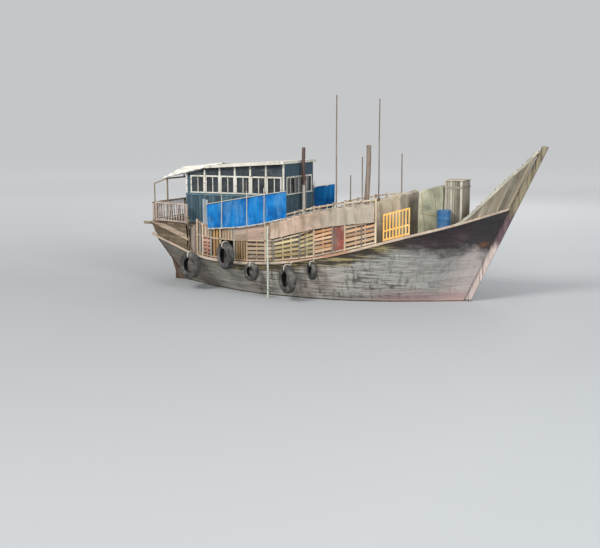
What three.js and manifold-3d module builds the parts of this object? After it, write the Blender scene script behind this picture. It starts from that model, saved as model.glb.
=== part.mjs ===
// A wooden motor dhow, afloat, built from named pieces.
// Millimetres. x runs forward, y to port, z up. The origin is amidships on the waterline.

import * as THREE from 'three';
import { mergeVertices } from 'three/addons/utils/BufferGeometryUtils.js';
import Module from 'manifold-3d';

const wasm = await Module();
wasm.setup();

// Driving dimensions
const GAP = 0.5;                 // between pieces that touch
const PLANK = 70;                // thickness of the hull's planking
const KEEL_HALF = 90;            // half the width of keel, stem and sternpost
const KEEL_BOTTOM = -1380;
const RABBET_Z = -1120;          // lower edge of the planking
const STEM_X = 5500;             // front of the stem at the waterline
const STEM_RAKE = 0.455;         // forward per unit of height
const STEM_HEAD_Z = 5200;
const STEM_DEPTH = 300;          // fore and aft, level
const STEM_PROUD = 240;          // how far the stem stands ahead of the planking
const STERN_X = -5550;           // back of the transom at the waterline
const STERN_RAKE = -0.4;
const TRANSOM = 70;              // thickness of the transom, fore and aft, level
const POST_DEPTH = 200;          // sternpost, fore and aft, level
const POST_TOP_Z = 1950;
const DECK_Z = 850;              // top of the main deck
const DECK_THICK = 50;
const FORE_DECK_X = 2300;        // where the raised foredeck starts
const FORE_DECK_Z = 1750;        // its height there
const FORE_DECK_RISE = 0.19;     // how much it rises per unit forward
const POOP_Z = 2350;             // top of the poop deck
const POOP_THICK = 60;
const POOP_X0 = -6470;           // aft edge of the poop deck
const POOP_X1 = -600;            // its forward edge
const RAIL_THICK = 90;           // cap rail on the planking's top edge
const SECTION_STEPS = 10;        // points up one side of a hull section
const HULL_STEPS = 22;           // sections along the hull

// The hull's stations. u runs from the transom (0) to the stem (1), along the waterlines.
// foot, bilge, water, mid and sheer are half breadths: at the rabbet, 650 below the water, at the
// water, halfway up and at the sheer, whose height is sheerZ.
const STATIONS = [
  { u: 0.00, foot: 95, bilge: 100, water: 130, mid: 700, sheer: 1200, sheerZ: 1720 },
  { u: 0.07, foot: 95, bilge: 150, water: 500, mid: 1090, sheer: 1500, sheerZ: 1480 },
  { u: 0.16, foot: 95, bilge: 380, water: 1010, mid: 1500, sheer: 1800, sheerZ: 1180 },
  { u: 0.28, foot: 95, bilge: 850, water: 1500, mid: 1830, sheer: 2020, sheerZ: 1070 },
  { u: 0.42, foot: 95, bilge: 1180, water: 1770, mid: 2010, sheer: 2130, sheerZ: 1140 },
  { u: 0.55, foot: 95, bilge: 1200, water: 1800, mid: 2040, sheer: 2160, sheerZ: 1380 },
  { u: 0.68, foot: 95, bilge: 980, water: 1640, mid: 1950, sheer: 2140, sheerZ: 1790 },
  { u: 0.80, foot: 95, bilge: 620, water: 1240, mid: 1660, sheer: 1960, sheerZ: 2260 },
  { u: 0.90, foot: 95, bilge: 330, water: 700, mid: 1120, sheer: 1470, sheerZ: 2640 },
  { u: 1.00, foot: 165, bilge: 165, water: 165, mid: 165, sheer: 165, sheerZ: 3130 },
];

const COLOURS = {
  hull: 0x9c918a, timber: 0x8a7a68, deck: 0x94836c, rail: 0xcbbca4, slat: 0xc29a6c, yellow: 0xe0a92c,
  blue: 0x1f6fc4, cream: 0xb9ad97, white: 0xe4e2da, teal: 0x5f8f96, rubber: 0x2b2b2c, iron: 0x5a5550,
  bronze: 0xa97f3f, wing: 0x8f9384,
};

const boat = new THREE.Group();

// Shapes

function closedGeometry(points, faces) {
  const geometry = new THREE.BufferGeometry();
  const numbers = points.flatMap((p) => [p.x, p.y, p.z]);
  geometry.setAttribute('position', new THREE.Float32BufferAttribute(numbers, 3));
  geometry.setIndex(faces.flat());
  return signedVolume(geometry) < 0 ? flipped(geometry) : geometry;
}

function signedVolume(geometry) {
  const position = geometry.getAttribute('position');
  const index = geometry.getIndex().array;
  const corner = (i) => new THREE.Vector3().fromBufferAttribute(position, index[i]);
  let volume = 0;
  for (let i = 0; i < index.length; i += 3) {
    volume += corner(i).dot(corner(i + 1).cross(corner(i + 2))) / 6;
  }
  return volume;
}

function flipped(geometry) {
  const index = geometry.getIndex().array;
  for (let i = 0; i < index.length; i += 3) {
    [index[i + 1], index[i + 2]] = [index[i + 2], index[i + 1]];
  }
  return geometry;
}

// A closed body through a row of sections, each a loop of as many points, with flat ends.
function loft(sections) {
  const count = sections[0].length;
  const points = sections.flat();
  const faces = [];
  for (let s = 0; s + 1 < sections.length; s += 1) {
    for (let i = 0; i < count; i += 1) {
      const a = s * count + i;
      const b = s * count + (i + 1) % count;
      faces.push([a, b, b + count], [a, b + count, a + count]);
    }
  }
  const last = (sections.length - 1) * count;
  for (const [a, b, c] of endFaces(sections[0])) {
    faces.push([c, b, a]);
  }
  for (const [a, b, c] of endFaces(sections[sections.length - 1])) {
    faces.push([a + last, b + last, c + last]);
  }
  return closedGeometry(points, faces);
}

function endFaces(section) {
  const normal = new THREE.Vector3();
  section.forEach((p, i) => {
    const q = section[(i + 1) % section.length];
    normal.add(new THREE.Vector3().crossVectors(p, q));
  });
  normal.normalize();
  const across = new THREE.Vector3().subVectors(section[1], section[0]).normalize();
  const up = new THREE.Vector3().crossVectors(normal, across);
  const outline = section.map((p) => new THREE.Vector2(p.dot(across), p.dot(up)));
  return THREE.ShapeUtils.triangulateShape(outline, []);
}

function box(x0, x1, y0, y1, z0, z1) {
  const geometry = new THREE.BoxGeometry(x1 - x0, y1 - y0, z1 - z0);
  return geometry.translate((x0 + x1) / 2, (y0 + y1) / 2, (z0 + z1) / 2);
}

// A bar of square or flat section from one point to another. Its height lies as near z as it can.
function bar(from, to, width, height) {
  const along = new THREE.Vector3().subVectors(to, from);
  const geometry = new THREE.BoxGeometry(along.length(), width, height);
  const x = along.clone().normalize();
  const helper = Math.abs(x.z) > 0.9 ? new THREE.Vector3(1, 0, 0) : new THREE.Vector3(0, 0, 1);
  const y = new THREE.Vector3().crossVectors(helper, x).normalize();
  const z = new THREE.Vector3().crossVectors(x, y);
  const middle = new THREE.Vector3().addVectors(from, to).multiplyScalar(0.5);
  return geometry.applyMatrix4(new THREE.Matrix4().makeBasis(x, y, z).setPosition(middle));
}

// A round pole from one point to another.
function pole(from, to, radius, sides = 8) {
  const along = new THREE.Vector3().subVectors(to, from);
  const geometry = new THREE.CylinderGeometry(radius, radius, along.length(), sides);
  const upright = new THREE.Vector3(0, 1, 0);
  const turn = new THREE.Quaternion().setFromUnitVectors(upright, along.clone().normalize());
  const middle = new THREE.Vector3().addVectors(from, to).multiplyScalar(0.5);
  return geometry.applyQuaternion(turn).translate(middle.x, middle.y, middle.z);
}

// A sheet: an outline spread to a depth, set in place by the function given, with its holes cut.
function sheet(outline, low, high, holes, place) {
  const body = (loop, from, to) => {
    const shape = new THREE.Shape(loop.map(([a, b]) => new THREE.Vector2(a, b)));
    return place(new THREE.ExtrudeGeometry(shape, { depth: to - from, bevelEnabled: false }), from, to);
  };
  const whole = body(outline, low, high);
  return holes.length === 0 ? whole : cut(whole, holes.map((hole) => body(hole, low - 1, high + 1)));
}

// An outline in x and z, spread in y; holes are outlines too.
function sheetXZ(outline, y0, y1, holes = []) {
  return sheet(outline, y0, y1, holes, (shape, from, to) => shape.rotateX(Math.PI / 2).translate(0, to, 0));
}

// An outline in x and y, spread in z.
function sheetXY(outline, z0, z1, holes = []) {
  return sheet(outline, z0, z1, holes, (shape, from) => shape.translate(0, 0, from));
}

// An outline in y and z, spread in x.
function sheetYZ(outline, x0, x1, holes = []) {
  return sheet(outline, x0, x1, holes, (shape, from) => shape
    .rotateX(Math.PI / 2).rotateZ(Math.PI / 2).translate(from, 0, 0));
}

function rectangle(a0, a1, b0, b1) {
  return [[a0, b0], [a1, b0], [a1, b1], [a0, b1]];
}

function mirrored(geometry) {
  const merged = merge(geometry).scale(1, -1, 1);
  return flipped(merged);
}

function merge(geometry) {
  const bare = geometry.clone();
  bare.deleteAttribute('normal');
  bare.deleteAttribute('uv');
  return mergeVertices(bare, 1e-3);
}

function solid(geometry) {
  const merged = merge(geometry);
  return new wasm.Manifold(new wasm.Mesh({
    numProp: 3,
    vertProperties: new Float32Array(merged.getAttribute('position').array),
    triVerts: new Uint32Array(merged.getIndex().array),
  }));
}

function geometryOf(manifold) {
  const mesh = manifold.getMesh();
  const geometry = new THREE.BufferGeometry();
  geometry.setAttribute('position', new THREE.BufferAttribute(new Float32Array(mesh.vertProperties), 3));
  geometry.setIndex(new THREE.BufferAttribute(new Uint32Array(mesh.triVerts), 1));
  return geometry;
}

function joined(geometries) {
  const [first, ...rest] = geometries.map(solid);
  return geometryOf(rest.reduce((whole, next) => whole.add(next), first));
}

function cut(geometry, tools) {
  return geometryOf(tools.map(solid).reduce((whole, tool) => whole.subtract(tool), solid(geometry)));
}

function addPiece(name, geometry, colour, roughness = 0.85, metalness = 0) {
  geometry.computeVertexNormals();
  const finish = new THREE.MeshStandardMaterial({ color: colour, roughness, metalness });
  const mesh = new THREE.Mesh(geometry, finish);
  mesh.name = name;
  boat.add(mesh);
  return mesh;
}

// A piece and its twin on the other side. The geometry given is the port one.
function addPair(name, geometry, colour, roughness, metalness) {
  addPiece(`${name}_port`, geometry, colour, roughness, metalness);
  addPiece(`${name}_starboard`, mirrored(geometry), colour, roughness, metalness);
}

const vec = (x, y, z) => new THREE.Vector3(x, y, z);

// Hull form

// A smooth curve through one column of a table, read at any value of its key column.
function read(rows, key, column, at) {
  const last = rows.length - 2;
  const i = Math.min(last, Math.max(0, rows.findIndex((row) => row[key] > at) - 1));
  const n = at >= rows[last + 1][key] ? last : i;
  const slope = (k) => {
    const low = rows[Math.max(0, k - 1)];
    const high = rows[Math.min(rows.length - 1, k + 1)];
    return (high[column] - low[column]) / (high[key] - low[key]);
  };
  const span = rows[n + 1][key] - rows[n][key];
  const t = (at - rows[n][key]) / span;
  const t2 = t * t;
  const t3 = t2 * t;
  return rows[n][column] * (2 * t3 - 3 * t2 + 1) + slope(n) * span * (t3 - 2 * t2 + t)
    + rows[n + 1][column] * (3 * t2 - 2 * t3) + slope(n + 1) * span * (t3 - t2);
}

const sheerZ = (u) => read(STATIONS, 'u', 'sheerZ', u);
const sheerY = (u) => read(STATIONS, 'u', 'sheer', u);
const sternX = (z) => STERN_X + TRANSOM + STERN_RAKE * z;
const stemX = (z) => STEM_X - STEM_PROUD + STEM_RAKE * z;
const hullX = (u, z) => sternX(z) + u * (stemX(z) - sternX(z));
const uAt = (x, z) => (x - sternX(z)) / (stemX(z) - sternX(z));

// The sheer's point at a place along the boat. Its u depends on its height, so it is found in steps.
function sheerAt(x) {
  let u = uAt(x, 1500);
  for (let k = 0; k < 4; k += 1) {
    u = uAt(x, sheerZ(u));
  }
  return vec(x, sheerY(u), sheerZ(u));
}

// The outer surface's section at u, from the rabbet up to the sheer, as points in y and z.
function outerSection(u, steps = SECTION_STEPS) {
  const top = sheerZ(u);
  const knots = [
    vec(read(STATIONS, 'u', 'foot', u), RABBET_Z, 0),
    vec(read(STATIONS, 'u', 'bilge', u), -650, 0),
    vec(read(STATIONS, 'u', 'water', u), 0, 0),
    vec(read(STATIONS, 'u', 'mid', u), top / 2, 0),
    vec(sheerY(u), top, 0),
  ];
  const curve = new THREE.CatmullRomCurve3(knots, false, 'centripetal');
  return curve.getPoints(steps).map((p) => new THREE.Vector2(p.x, p.y));
}

// The inner surface's section: the outer one moved in by the planking's thickness, but clear of the
// other side's planking, and forward of the stem too.
const STEM_LAND_U = 0.9;
function innerSection(u) {
  const outer = outerSection(u);
  const least = u > STEM_LAND_U ? KEEL_HALF + GAP : 3;
  return outer.map((p, i) => {
    const ahead = outer[Math.min(outer.length - 1, i + 1)];
    const behind = outer[Math.max(0, i - 1)];
    const along = new THREE.Vector2().subVectors(ahead, behind).normalize();
    const inward = i === outer.length - 1 ? new THREE.Vector2(-1, 0) : new THREE.Vector2(-along.y, along.x);
    const q = p.clone().addScaledVector(inward, PLANK);
    return new THREE.Vector2(Math.max(least, q.x), Math.max(RABBET_Z, q.y));
  });
}

// Half breadth of a section at one height.
function breadthAt(section, z) {
  const above = section.findIndex((p) => p.y >= z);
  const i = Math.max(1, above < 0 ? section.length - 1 : above);
  const low = section[i - 1];
  const high = section[i];
  return low.x + (high.x - low.x) * (z - low.y) / (high.y - low.y);
}

const innerY = (x, z) => breadthAt(innerSection(uAt(x, z)), z);
const outerY = (x, z) => breadthAt(outerSection(uAt(x, z)), z);

function planking() {
  const sections = [];
  for (let k = 0; k <= HULL_STEPS; k += 1) {
    const u = k / HULL_STEPS;
    const loop = [...outerSection(u), ...innerSection(u).reverse()];
    sections.push(loop.map((p) => vec(hullX(u, p.y), p.x, p.y)));
  }
  return loft(sections);
}

addPair('hull_planking', planking(), COLOURS.hull);

// Backbone

const stemFront = (z) => STEM_X + STEM_RAKE * z;
const stemBack = (z) => stemFront(z) - STEM_DEPTH;
const KEEL_JOINT_X = stemBack(RABBET_Z) - 60;
addPiece('stem_post', sheetXZ([
  [KEEL_JOINT_X + GAP, KEEL_BOTTOM], [stemFront(KEEL_BOTTOM) - 160, KEEL_BOTTOM],
  [stemFront(KEEL_BOTTOM + 60) - 40, KEEL_BOTTOM + 60], [stemFront(KEEL_BOTTOM + 180), KEEL_BOTTOM + 180],
  [stemFront(STEM_HEAD_Z), STEM_HEAD_Z], [stemFront(STEM_HEAD_Z) - 200, STEM_HEAD_Z + 40],
  [stemBack(STEM_HEAD_Z) + 60, STEM_HEAD_Z - 90],
  [stemBack(RABBET_Z), RABBET_Z - GAP], [KEEL_JOINT_X + GAP, RABBET_Z - GAP],
], -KEEL_HALF, KEEL_HALF), COLOURS.timber);

const postFront = (z) => STERN_X + STERN_RAKE * z - GAP;
const postBack = (z) => postFront(z) - POST_DEPTH;
const TRANSOM_FOOT_Z = -330;
const POST_STEP = TRANSOM - 2 * GAP;
const keelTimber = box(sternX(RABBET_Z), KEEL_JOINT_X, -KEEL_HALF, KEEL_HALF, KEEL_BOTTOM, RABBET_Z - GAP);
addPiece('keel', keelTimber, COLOURS.timber);

const SHAFT_Z = -600;
const SHAFT_RADIUS = 35;
const BOSS_RADIUS = 95;
const BOSS_LENGTH = 200;
const sternpostBody = sheetXZ([
  [sternX(RABBET_Z) - GAP, KEEL_BOTTOM], [sternX(RABBET_Z) - GAP, RABBET_Z],
  [postFront(TRANSOM_FOOT_Z) + POST_STEP, TRANSOM_FOOT_Z], [postFront(TRANSOM_FOOT_Z), TRANSOM_FOOT_Z],
  [postFront(POST_TOP_Z), POST_TOP_Z], [postBack(POST_TOP_Z), POST_TOP_Z],
  [postBack(KEEL_BOTTOM), KEEL_BOTTOM],
], -KEEL_HALF, KEEL_HALF);
const BOSS_X = postBack(SHAFT_Z) - BOSS_LENGTH;
const sternBoss = pole(vec(postBack(SHAFT_Z) + 80, 0, SHAFT_Z), vec(BOSS_X, 0, SHAFT_Z), BOSS_RADIUS, 16);

// Rudder, hung behind the sternpost on an axis that leans with it
const RUDDER_RADIUS = 50;
const RUDDER_CLEAR = 8;
const RAKE_ANGLE = Math.atan(-STERN_RAKE);
const axisX = (z) => postBack(z) - (RUDDER_RADIUS + RUDDER_CLEAR) / Math.cos(RAKE_ANGLE);
const RUDDER_TOP_Z = 2180;
const RUDDER_FOOT_Z = KEEL_BOTTOM + 60;
const HEEL = { out: 110, half: 60, gap: 32 };
const sternHeel = box(axisX(KEEL_BOTTOM) - HEEL.out, sternX(RABBET_Z) - 40, -HEEL.half, HEEL.half,
  KEEL_BOTTOM, RUDDER_FOOT_Z - HEEL.gap);
addPiece('sternpost', joined([sternpostBody, sternBoss, sternHeel]), COLOURS.timber);

const PROP_RADIUS = 390;
const PROP_GAP = 12;
const NOTCH_TOP_Z = SHAFT_Z + PROP_RADIUS + 70;
const NOTCH_FOOT_Z = SHAFT_Z - PROP_RADIUS - 90;
const NOTCH_DEPTH = 560;
const RUDDER_HEAD_Z = 1300;      // top of the blade
const RUDDER_WIDTHS = [
  { z: RUDDER_FOOT_Z, width: 1000 },
  { z: -900, width: 1060 },
  { z: -340, width: 980 },
  { z: -125, width: 740 },
  { z: 0, width: 380 },
  { z: 300, width: 250 },
  { z: RUDDER_HEAD_Z, width: 190 },
];
const rudderAft = RUDDER_WIDTHS.map(({ z, width }) => [axisX(z) - width, z]);
const rudderBlade = sheetXZ([
  [axisX(RUDDER_FOOT_Z), RUDDER_FOOT_Z], ...rudderAft, [axisX(RUDDER_HEAD_Z), RUDDER_HEAD_Z],
  [axisX(NOTCH_TOP_Z), NOTCH_TOP_Z], [axisX(NOTCH_TOP_Z) - NOTCH_DEPTH, NOTCH_TOP_Z],
  [axisX(NOTCH_FOOT_Z) - NOTCH_DEPTH, NOTCH_FOOT_Z], [axisX(NOTCH_FOOT_Z), NOTCH_FOOT_Z],
].reverse(), -35, 35);
const onAxis = (z) => vec(axisX(z), 0, z);
const upperStock = pole(onAxis(NOTCH_TOP_Z), onAxis(RUDDER_TOP_Z), RUDDER_RADIUS, 16);
const lowerStock = pole(onAxis(RUDDER_FOOT_Z), onAxis(NOTCH_FOOT_Z), RUDDER_RADIUS, 16);
const YOKE_HALF = 290;
const yoke = box(-60, 60, -YOKE_HALF, YOKE_HALF, -35, 35).rotateY(-RAKE_ANGLE)
  .translate(axisX(RUDDER_TOP_Z), 0, RUDDER_TOP_Z);
addPiece('rudder', joined([rudderBlade, upperStock, lowerStock, yoke]), COLOURS.timber);

// Propeller, on a short length of shaft behind the sternpost's boss
const HUB_RADIUS = 80;
const HUB_LENGTH = 150;
const BLADE_THICK = 18;
const BLADE_PITCH = 0.5;
const PROP_X = BOSS_X - PROP_GAP - HUB_LENGTH / 2;
function propeller() {
  const hub = pole(vec(-HUB_LENGTH / 2, 0, 0), vec(HUB_LENGTH / 2, 0, 0), HUB_RADIUS, 16);
  const blades = [0, 1, 2].map((k) => {
    const outline = new THREE.Shape();
    outline.moveTo(-50, 40);
    outline.quadraticCurveTo(-190, 210, -120, PROP_RADIUS - 60);
    outline.quadraticCurveTo(0, PROP_RADIUS + 50, 120, PROP_RADIUS - 60);
    outline.quadraticCurveTo(190, 210, 50, 40);
    const spread = { depth: BLADE_THICK, bevelEnabled: false, curveSegments: 5 };
    const blade = new THREE.ExtrudeGeometry(outline, spread);
    return blade.translate(0, 0, -BLADE_THICK / 2).rotateY(Math.PI / 2 - BLADE_PITCH)
      .rotateX(Math.PI / 2 + k * Math.PI * 2 / 3);
  });
  return joined([hub, ...blades]).translate(PROP_X, 0, SHAFT_Z);
}
addPiece('propeller', propeller(), COLOURS.bronze, 0.4, 0.9);

// Transom and stern panel: boards across the stern, on the rake
function transomOutline(steps) {
  const side = outerSection(0, steps).filter((p) => p.y > TRANSOM_FOOT_Z + 20);
  return [...side, ...side.map((p) => new THREE.Vector2(-p.x, p.y)).reverse()];
}
function onRake(points, shift) {
  return points.map((p) => vec(sternX(p.y) - shift, p.x, p.y));
}
addPiece('transom', loft([
  onRake(transomOutline(14), GAP), onRake(transomOutline(14), TRANSOM - GAP),
]), COLOURS.timber);

// Main deck and foredeck
function deckOutline(x0, x1, zOf, steps, margin) {
  const side = [];
  for (let k = 0; k <= steps; k += 1) {
    const x = x0 + (x1 - x0) * k / steps;
    side.push([x, innerY(x, zOf(x)) - margin]);
  }
  return side;
}
const DECK_MARGIN = 25;
const HATCH = { x0: -200, x1: 1500, half: 650 };
function hatchOutline(over) {
  return rectangle(HATCH.x0 - over, HATCH.x1 + over, -HATCH.half - over, HATCH.half + over);
}
const deckSide = deckOutline(sternX(DECK_Z) + 20, FORE_DECK_X, () => DECK_Z - DECK_THICK, 16, DECK_MARGIN);
const mainDeckOutline = [...deckSide, ...deckSide.map(([x, y]) => [x, -y]).reverse()];
addPiece('main_deck', sheetXY(mainDeckOutline, DECK_Z - DECK_THICK, DECK_Z, [hatchOutline(0)]), COLOURS.deck);

const foreDeckZ = (x) => FORE_DECK_Z + FORE_DECK_RISE * (x - FORE_DECK_X);
const FORE_DECK_X1 = 6000;
const foreUnderZ = (x) => foreDeckZ(x) - DECK_THICK;
const foreSide = deckOutline(FORE_DECK_X + 60, FORE_DECK_X1, foreUnderZ, 10, DECK_MARGIN);
const foreLoop = [...foreSide, ...foreSide.map(([x, y]) => [x, -y]).reverse()];
addPiece('foredeck', loft([foreUnderZ, foreDeckZ].map(
  (level) => foreLoop.map(([x, y]) => vec(x, y, level(x))),
)), COLOURS.deck);

// Bulkhead under the foredeck's after edge
const bulkheadTop = foreDeckZ(FORE_DECK_X + 60) - DECK_THICK - GAP;
const bulkheadHalf = innerY(FORE_DECK_X, DECK_Z) - DECK_MARGIN;
const bulkheadTopHalf = innerY(FORE_DECK_X, bulkheadTop) - DECK_MARGIN;
addPiece('forepeak_bulkhead', sheetYZ([
  [-bulkheadHalf, DECK_Z + GAP], [bulkheadHalf, DECK_Z + GAP],
  [bulkheadTopHalf, bulkheadTop], [-bulkheadTopHalf, bulkheadTop],
], FORE_DECK_X - 60, FORE_DECK_X - GAP), COLOURS.timber);

// Hatch coaming and its hinged cover
const COAMING = { thick: 60, height: 300 };
addPiece('hatch_coaming', sheetXY(
  hatchOutline(COAMING.thick), DECK_Z + GAP, DECK_Z + COAMING.height, [hatchOutline(0)],
), COLOURS.timber);
const COVER = { over: 90, gap: 6, thick: 60 };
const COVER_Z = DECK_Z + COAMING.height + COVER.gap;
addPiece('hatch_cover', sheetXY(hatchOutline(COVER.over), COVER_Z, COVER_Z + COVER.thick), COLOURS.deck);

// Engine, one plain block low in the hull
const ENGINE = { x0: -3500, x1: -2200, half: 350, low: -600, high: 350 };
addPiece('engine_block', box(ENGINE.x0, ENGINE.x1, -ENGINE.half, ENGINE.half, ENGINE.low, ENGINE.high),
  COLOURS.iron, 0.6, 0.5);

// Cap rail along the planking's top edge, running out past the transom
const RAIL_TIP_U = -0.024;
const RAIL_OUT = 55;
const RAIL_IN = 40;
const hullStations = Array.from({ length: HULL_STEPS + 1 }, (_, k) => k / HULL_STEPS);
function railSection(u) {
  const y = sheerY(u);
  const z = sheerZ(u) + GAP;
  const yIn = Math.max(KEEL_HALF + GAP, y - PLANK - RAIL_IN);
  return [[y + RAIL_OUT, z], [y + RAIL_OUT, z + RAIL_THICK], [yIn, z + RAIL_THICK], [yIn, z]]
    .map(([py, pz]) => vec(hullX(u, pz), py, pz));
}
addPair('cap_rail', loft([RAIL_TIP_U, ...hullStations].map(railSection)), COLOURS.rail);

// Raised quarters: side panels on the cap rail aft, with the upper wale on them, and the stern panel
const QUARTER_STEPS = 3;
const QUARTER_THICK = 50;
const QUARTER_TOP_Z = POOP_Z - POOP_THICK - GAP;
const quarterStations = hullStations.slice(0, QUARTER_STEPS + 1);
const quarterY = (u) => sheerY(u) + 10;
function quarterSection(u) {
  const low = sheerZ(u) + GAP + RAIL_THICK + GAP;
  const y = quarterY(u);
  return [[y, low], [y, QUARTER_TOP_Z], [y - QUARTER_THICK, QUARTER_TOP_Z], [y - QUARTER_THICK, low]]
    .map(([py, pz]) => vec(hullX(u, pz), py, pz));
}
const WALE = { out: 60, height: 100, aftZ: 2240, foreZ: 1750, tipU: -0.03 };
function waleSection(u) {
  const t = Math.max(0, u / quarterStations[QUARTER_STEPS]);
  const z = WALE.aftZ + (WALE.foreZ - WALE.aftZ) * Math.sqrt(t) * (0.4 + 0.6 * t);
  const y = quarterY(Math.max(0, u));
  return [[y - 10, z], [y + WALE.out, z], [y + WALE.out, z + WALE.height], [y - 10, z + WALE.height]]
    .map(([py, pz]) => vec(hullX(u, pz), py, pz));
}
const QUARTER_POST = { x: -4545, foot: 1390, head: 2620, width: 70 };
const quarterPostY = quarterY(quarterStations[QUARTER_STEPS]) + 10;
const quarterPost = bar(vec(QUARTER_POST.x, quarterPostY, QUARTER_POST.foot),
  vec(QUARTER_POST.x, quarterPostY, QUARTER_POST.head), QUARTER_POST.width, QUARTER_POST.width);
const quarterBoards = loft(quarterStations.map(quarterSection));
const upperWale = loft([WALE.tipU, ...quarterStations].map(waleSection));
addPair('quarter_panel', joined([quarterBoards, upperWale, quarterPost]), COLOURS.timber);
const STERN_NOTCH_Z = sheerZ(RAIL_TIP_U) + RAIL_THICK + 20;
const STERN_NOTCH_Y = sheerY(RAIL_TIP_U) - PLANK - RAIL_IN - 20;
const STERN_SIDE_Y = quarterY(0) - 10 - GAP;
const sternPanelOutline = [
  [-STERN_NOTCH_Y, sheerZ(0) + GAP], [STERN_NOTCH_Y, sheerZ(0) + GAP], [STERN_NOTCH_Y, STERN_NOTCH_Z],
  [STERN_SIDE_Y, STERN_NOTCH_Z], [STERN_SIDE_Y, QUARTER_TOP_Z], [-STERN_SIDE_Y, QUARTER_TOP_Z],
  [-STERN_SIDE_Y, STERN_NOTCH_Z], [-STERN_NOTCH_Y, STERN_NOTCH_Z],
].map(([y, z]) => new THREE.Vector2(y, z));
addPiece('stern_panel', loft([
  onRake(sternPanelOutline, GAP), onRake(sternPanelOutline, TRANSOM - GAP),
]), COLOURS.timber);

// Bow washboards: planking carried up from the cap rail to the stem head
const WASHBOARD = [
  { u: 0.905, top: 60 },
  { u: 0.925, top: 330 },
  { u: 0.945, top: 620 },
  { u: 0.960, top: 980 },
  { u: 0.972, top: 1270 },
  { u: 0.985, top: 1480 },
  { u: 0.998, top: 1900 },
];
const WASHBOARD_THICK = 45;
const WASHBOARD_CLEAR = 6;
function washboardSection({ u, top }) {
  const low = sheerZ(u) + RAIL_THICK + WASHBOARD_CLEAR;
  const high = low + top;
  const y = Math.max(KEEL_HALF + GAP + WASHBOARD_THICK, sheerY(u) - 20);
  return [[y, low], [y, high], [y - WASHBOARD_THICK, high], [y - WASHBOARD_THICK, low]]
    .map(([py, pz]) => vec(hullX(u, pz), py, pz));
}
addPair('washboard', loft(WASHBOARD.map(washboardSection)), COLOURS.wing);

// Poop deck on the quarters and on two frames of posts
const POOP_IN = 130;             // from the sheer to the poop deck's edge beside the screens
const poopSide = [
  [POOP_X0, quarterY(0) - 40], ...quarterStations.map((u) => [hullX(u, POOP_Z), quarterY(u) - 40]),
  ...[-4300, -3900, -3300, -2500, -1500, POOP_X1].map((x) => [x, sheerAt(x).y - POOP_IN]),
];
addPiece('poop_deck', sheetXY(
  [...poopSide, ...poopSide.map(([x, y]) => [x, -y]).reverse()], POOP_Z - POOP_THICK, POOP_Z,
), COLOURS.deck);
const FRAME_BEAM = { half: 1900, height: 110, width: 90 };
const FRAME_POST_HALF = 40;
const FRAME_POSTS = [-1700, -650, 650, 1700];
function poopFrame(x) {
  const top = POOP_Z - POOP_THICK - GAP;
  const upright = (y, half, side, low) => box(x - half, x + half, y - side, y + side, low, top);
  const beam = upright(0, FRAME_BEAM.width / 2, FRAME_BEAM.half, top - FRAME_BEAM.height);
  const posts = FRAME_POSTS.map((y) => upright(y, FRAME_POST_HALF, FRAME_POST_HALF, DECK_Z + GAP));
  return joined([beam, ...posts]);
}
addPiece('poop_frame_fore', poopFrame(-700), COLOURS.timber);
addPiece('poop_frame_mid', poopFrame(-2500), COLOURS.timber);

// Balustrade round the stern, one length for each side and one across
const BALUSTER = {
  spacing: 150, size: 48, height: 700, post: 75, railWidth: 80, railHeight: 60, footRail: 50,
};
function balustrade(x0, y0, x1, y1) {
  const length = Math.hypot(x1 - x0, y1 - y0);
  const at = (along, z) => vec(x0 + (x1 - x0) * along / length, y0 + (y1 - y0) * along / length, z);
  const foot = POOP_Z + GAP;
  const top = POOP_Z + BALUSTER.height;
  const upright = (along, low, size) => bar(at(along, low), at(along, top), size, size);
  const parts = [
    bar(at(0, top), at(length, top), BALUSTER.railWidth, BALUSTER.railHeight),
    bar(at(0, foot + 60), at(length, foot + 60), BALUSTER.footRail, BALUSTER.footRail),
    upright(BALUSTER.post / 2, foot, BALUSTER.post), upright(length - BALUSTER.post / 2, foot, BALUSTER.post),
  ];
  const count = Math.round(length / BALUSTER.spacing);
  for (let k = 1; k < count; k += 1) {
    parts.push(upright(length * k / count, foot + 50, BALUSTER.size));
  }
  return joined(parts);
}
addPair('balustrade', balustrade(-6300, 1150, -4620, 1660), COLOURS.cream);
addPiece('balustrade_aft', balustrade(-6400, -1170, -6400, 1170), COLOURS.cream);

// Side screens: stanchions on the cap rail, with rails, slats, boards and balusters between them
const SCREEN_CLEAR = 14;
const SCREEN_IN = 40;
const SCREEN_HEIGHTS = [
  { x: -4160, top: 1200, mid: 700 },
  { x: -3900, top: 1110, mid: 700 },
  { x: -3110, top: 1240, mid: 720 },
  { x: -1990, top: 1370, mid: 740 },
  { x: -920, top: 1520, mid: 720 },
  { x: 70, top: 1640, mid: 840 },
  { x: 600, top: 1670, mid: 950 },
  { x: 1290, top: 1640, mid: 980 },
  { x: 1720, top: 1590, mid: 1080 },
  { x: 2770, top: 1430, mid: 1020 },
];
const BAYS = [
  { from: -4160, to: -3900, low: 'boards', high: 'boards' },
  { from: -3900, to: -3520, low: 'slats', high: 'boards' },
  { from: -3520, to: -3110, low: 'boards', high: 'boards' },
  { from: -3110, to: -2510, low: 'open', high: 'boards' },
  { from: -2510, to: -1990, low: 'balusters', high: 'board' },
  { from: -1990, to: -1240, low: 'slats', high: 'board' },
  { from: -1240, to: -920, low: 'slats', high: 'board' },
  { from: -920, to: 70, low: 'slats', high: 'open' },
  { from: 70, to: 600, low: 'slats', high: 'open' },
  { from: 600, to: 1290, low: 'slats', high: 'open' },
  { from: 1290, to: 1720, low: 'board', high: 'open' },
  { from: 1720, to: 2770, low: 'slats', high: 'open' },
];
const SLAT = { thick: 24, height: 62, spacing: 135 };
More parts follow.
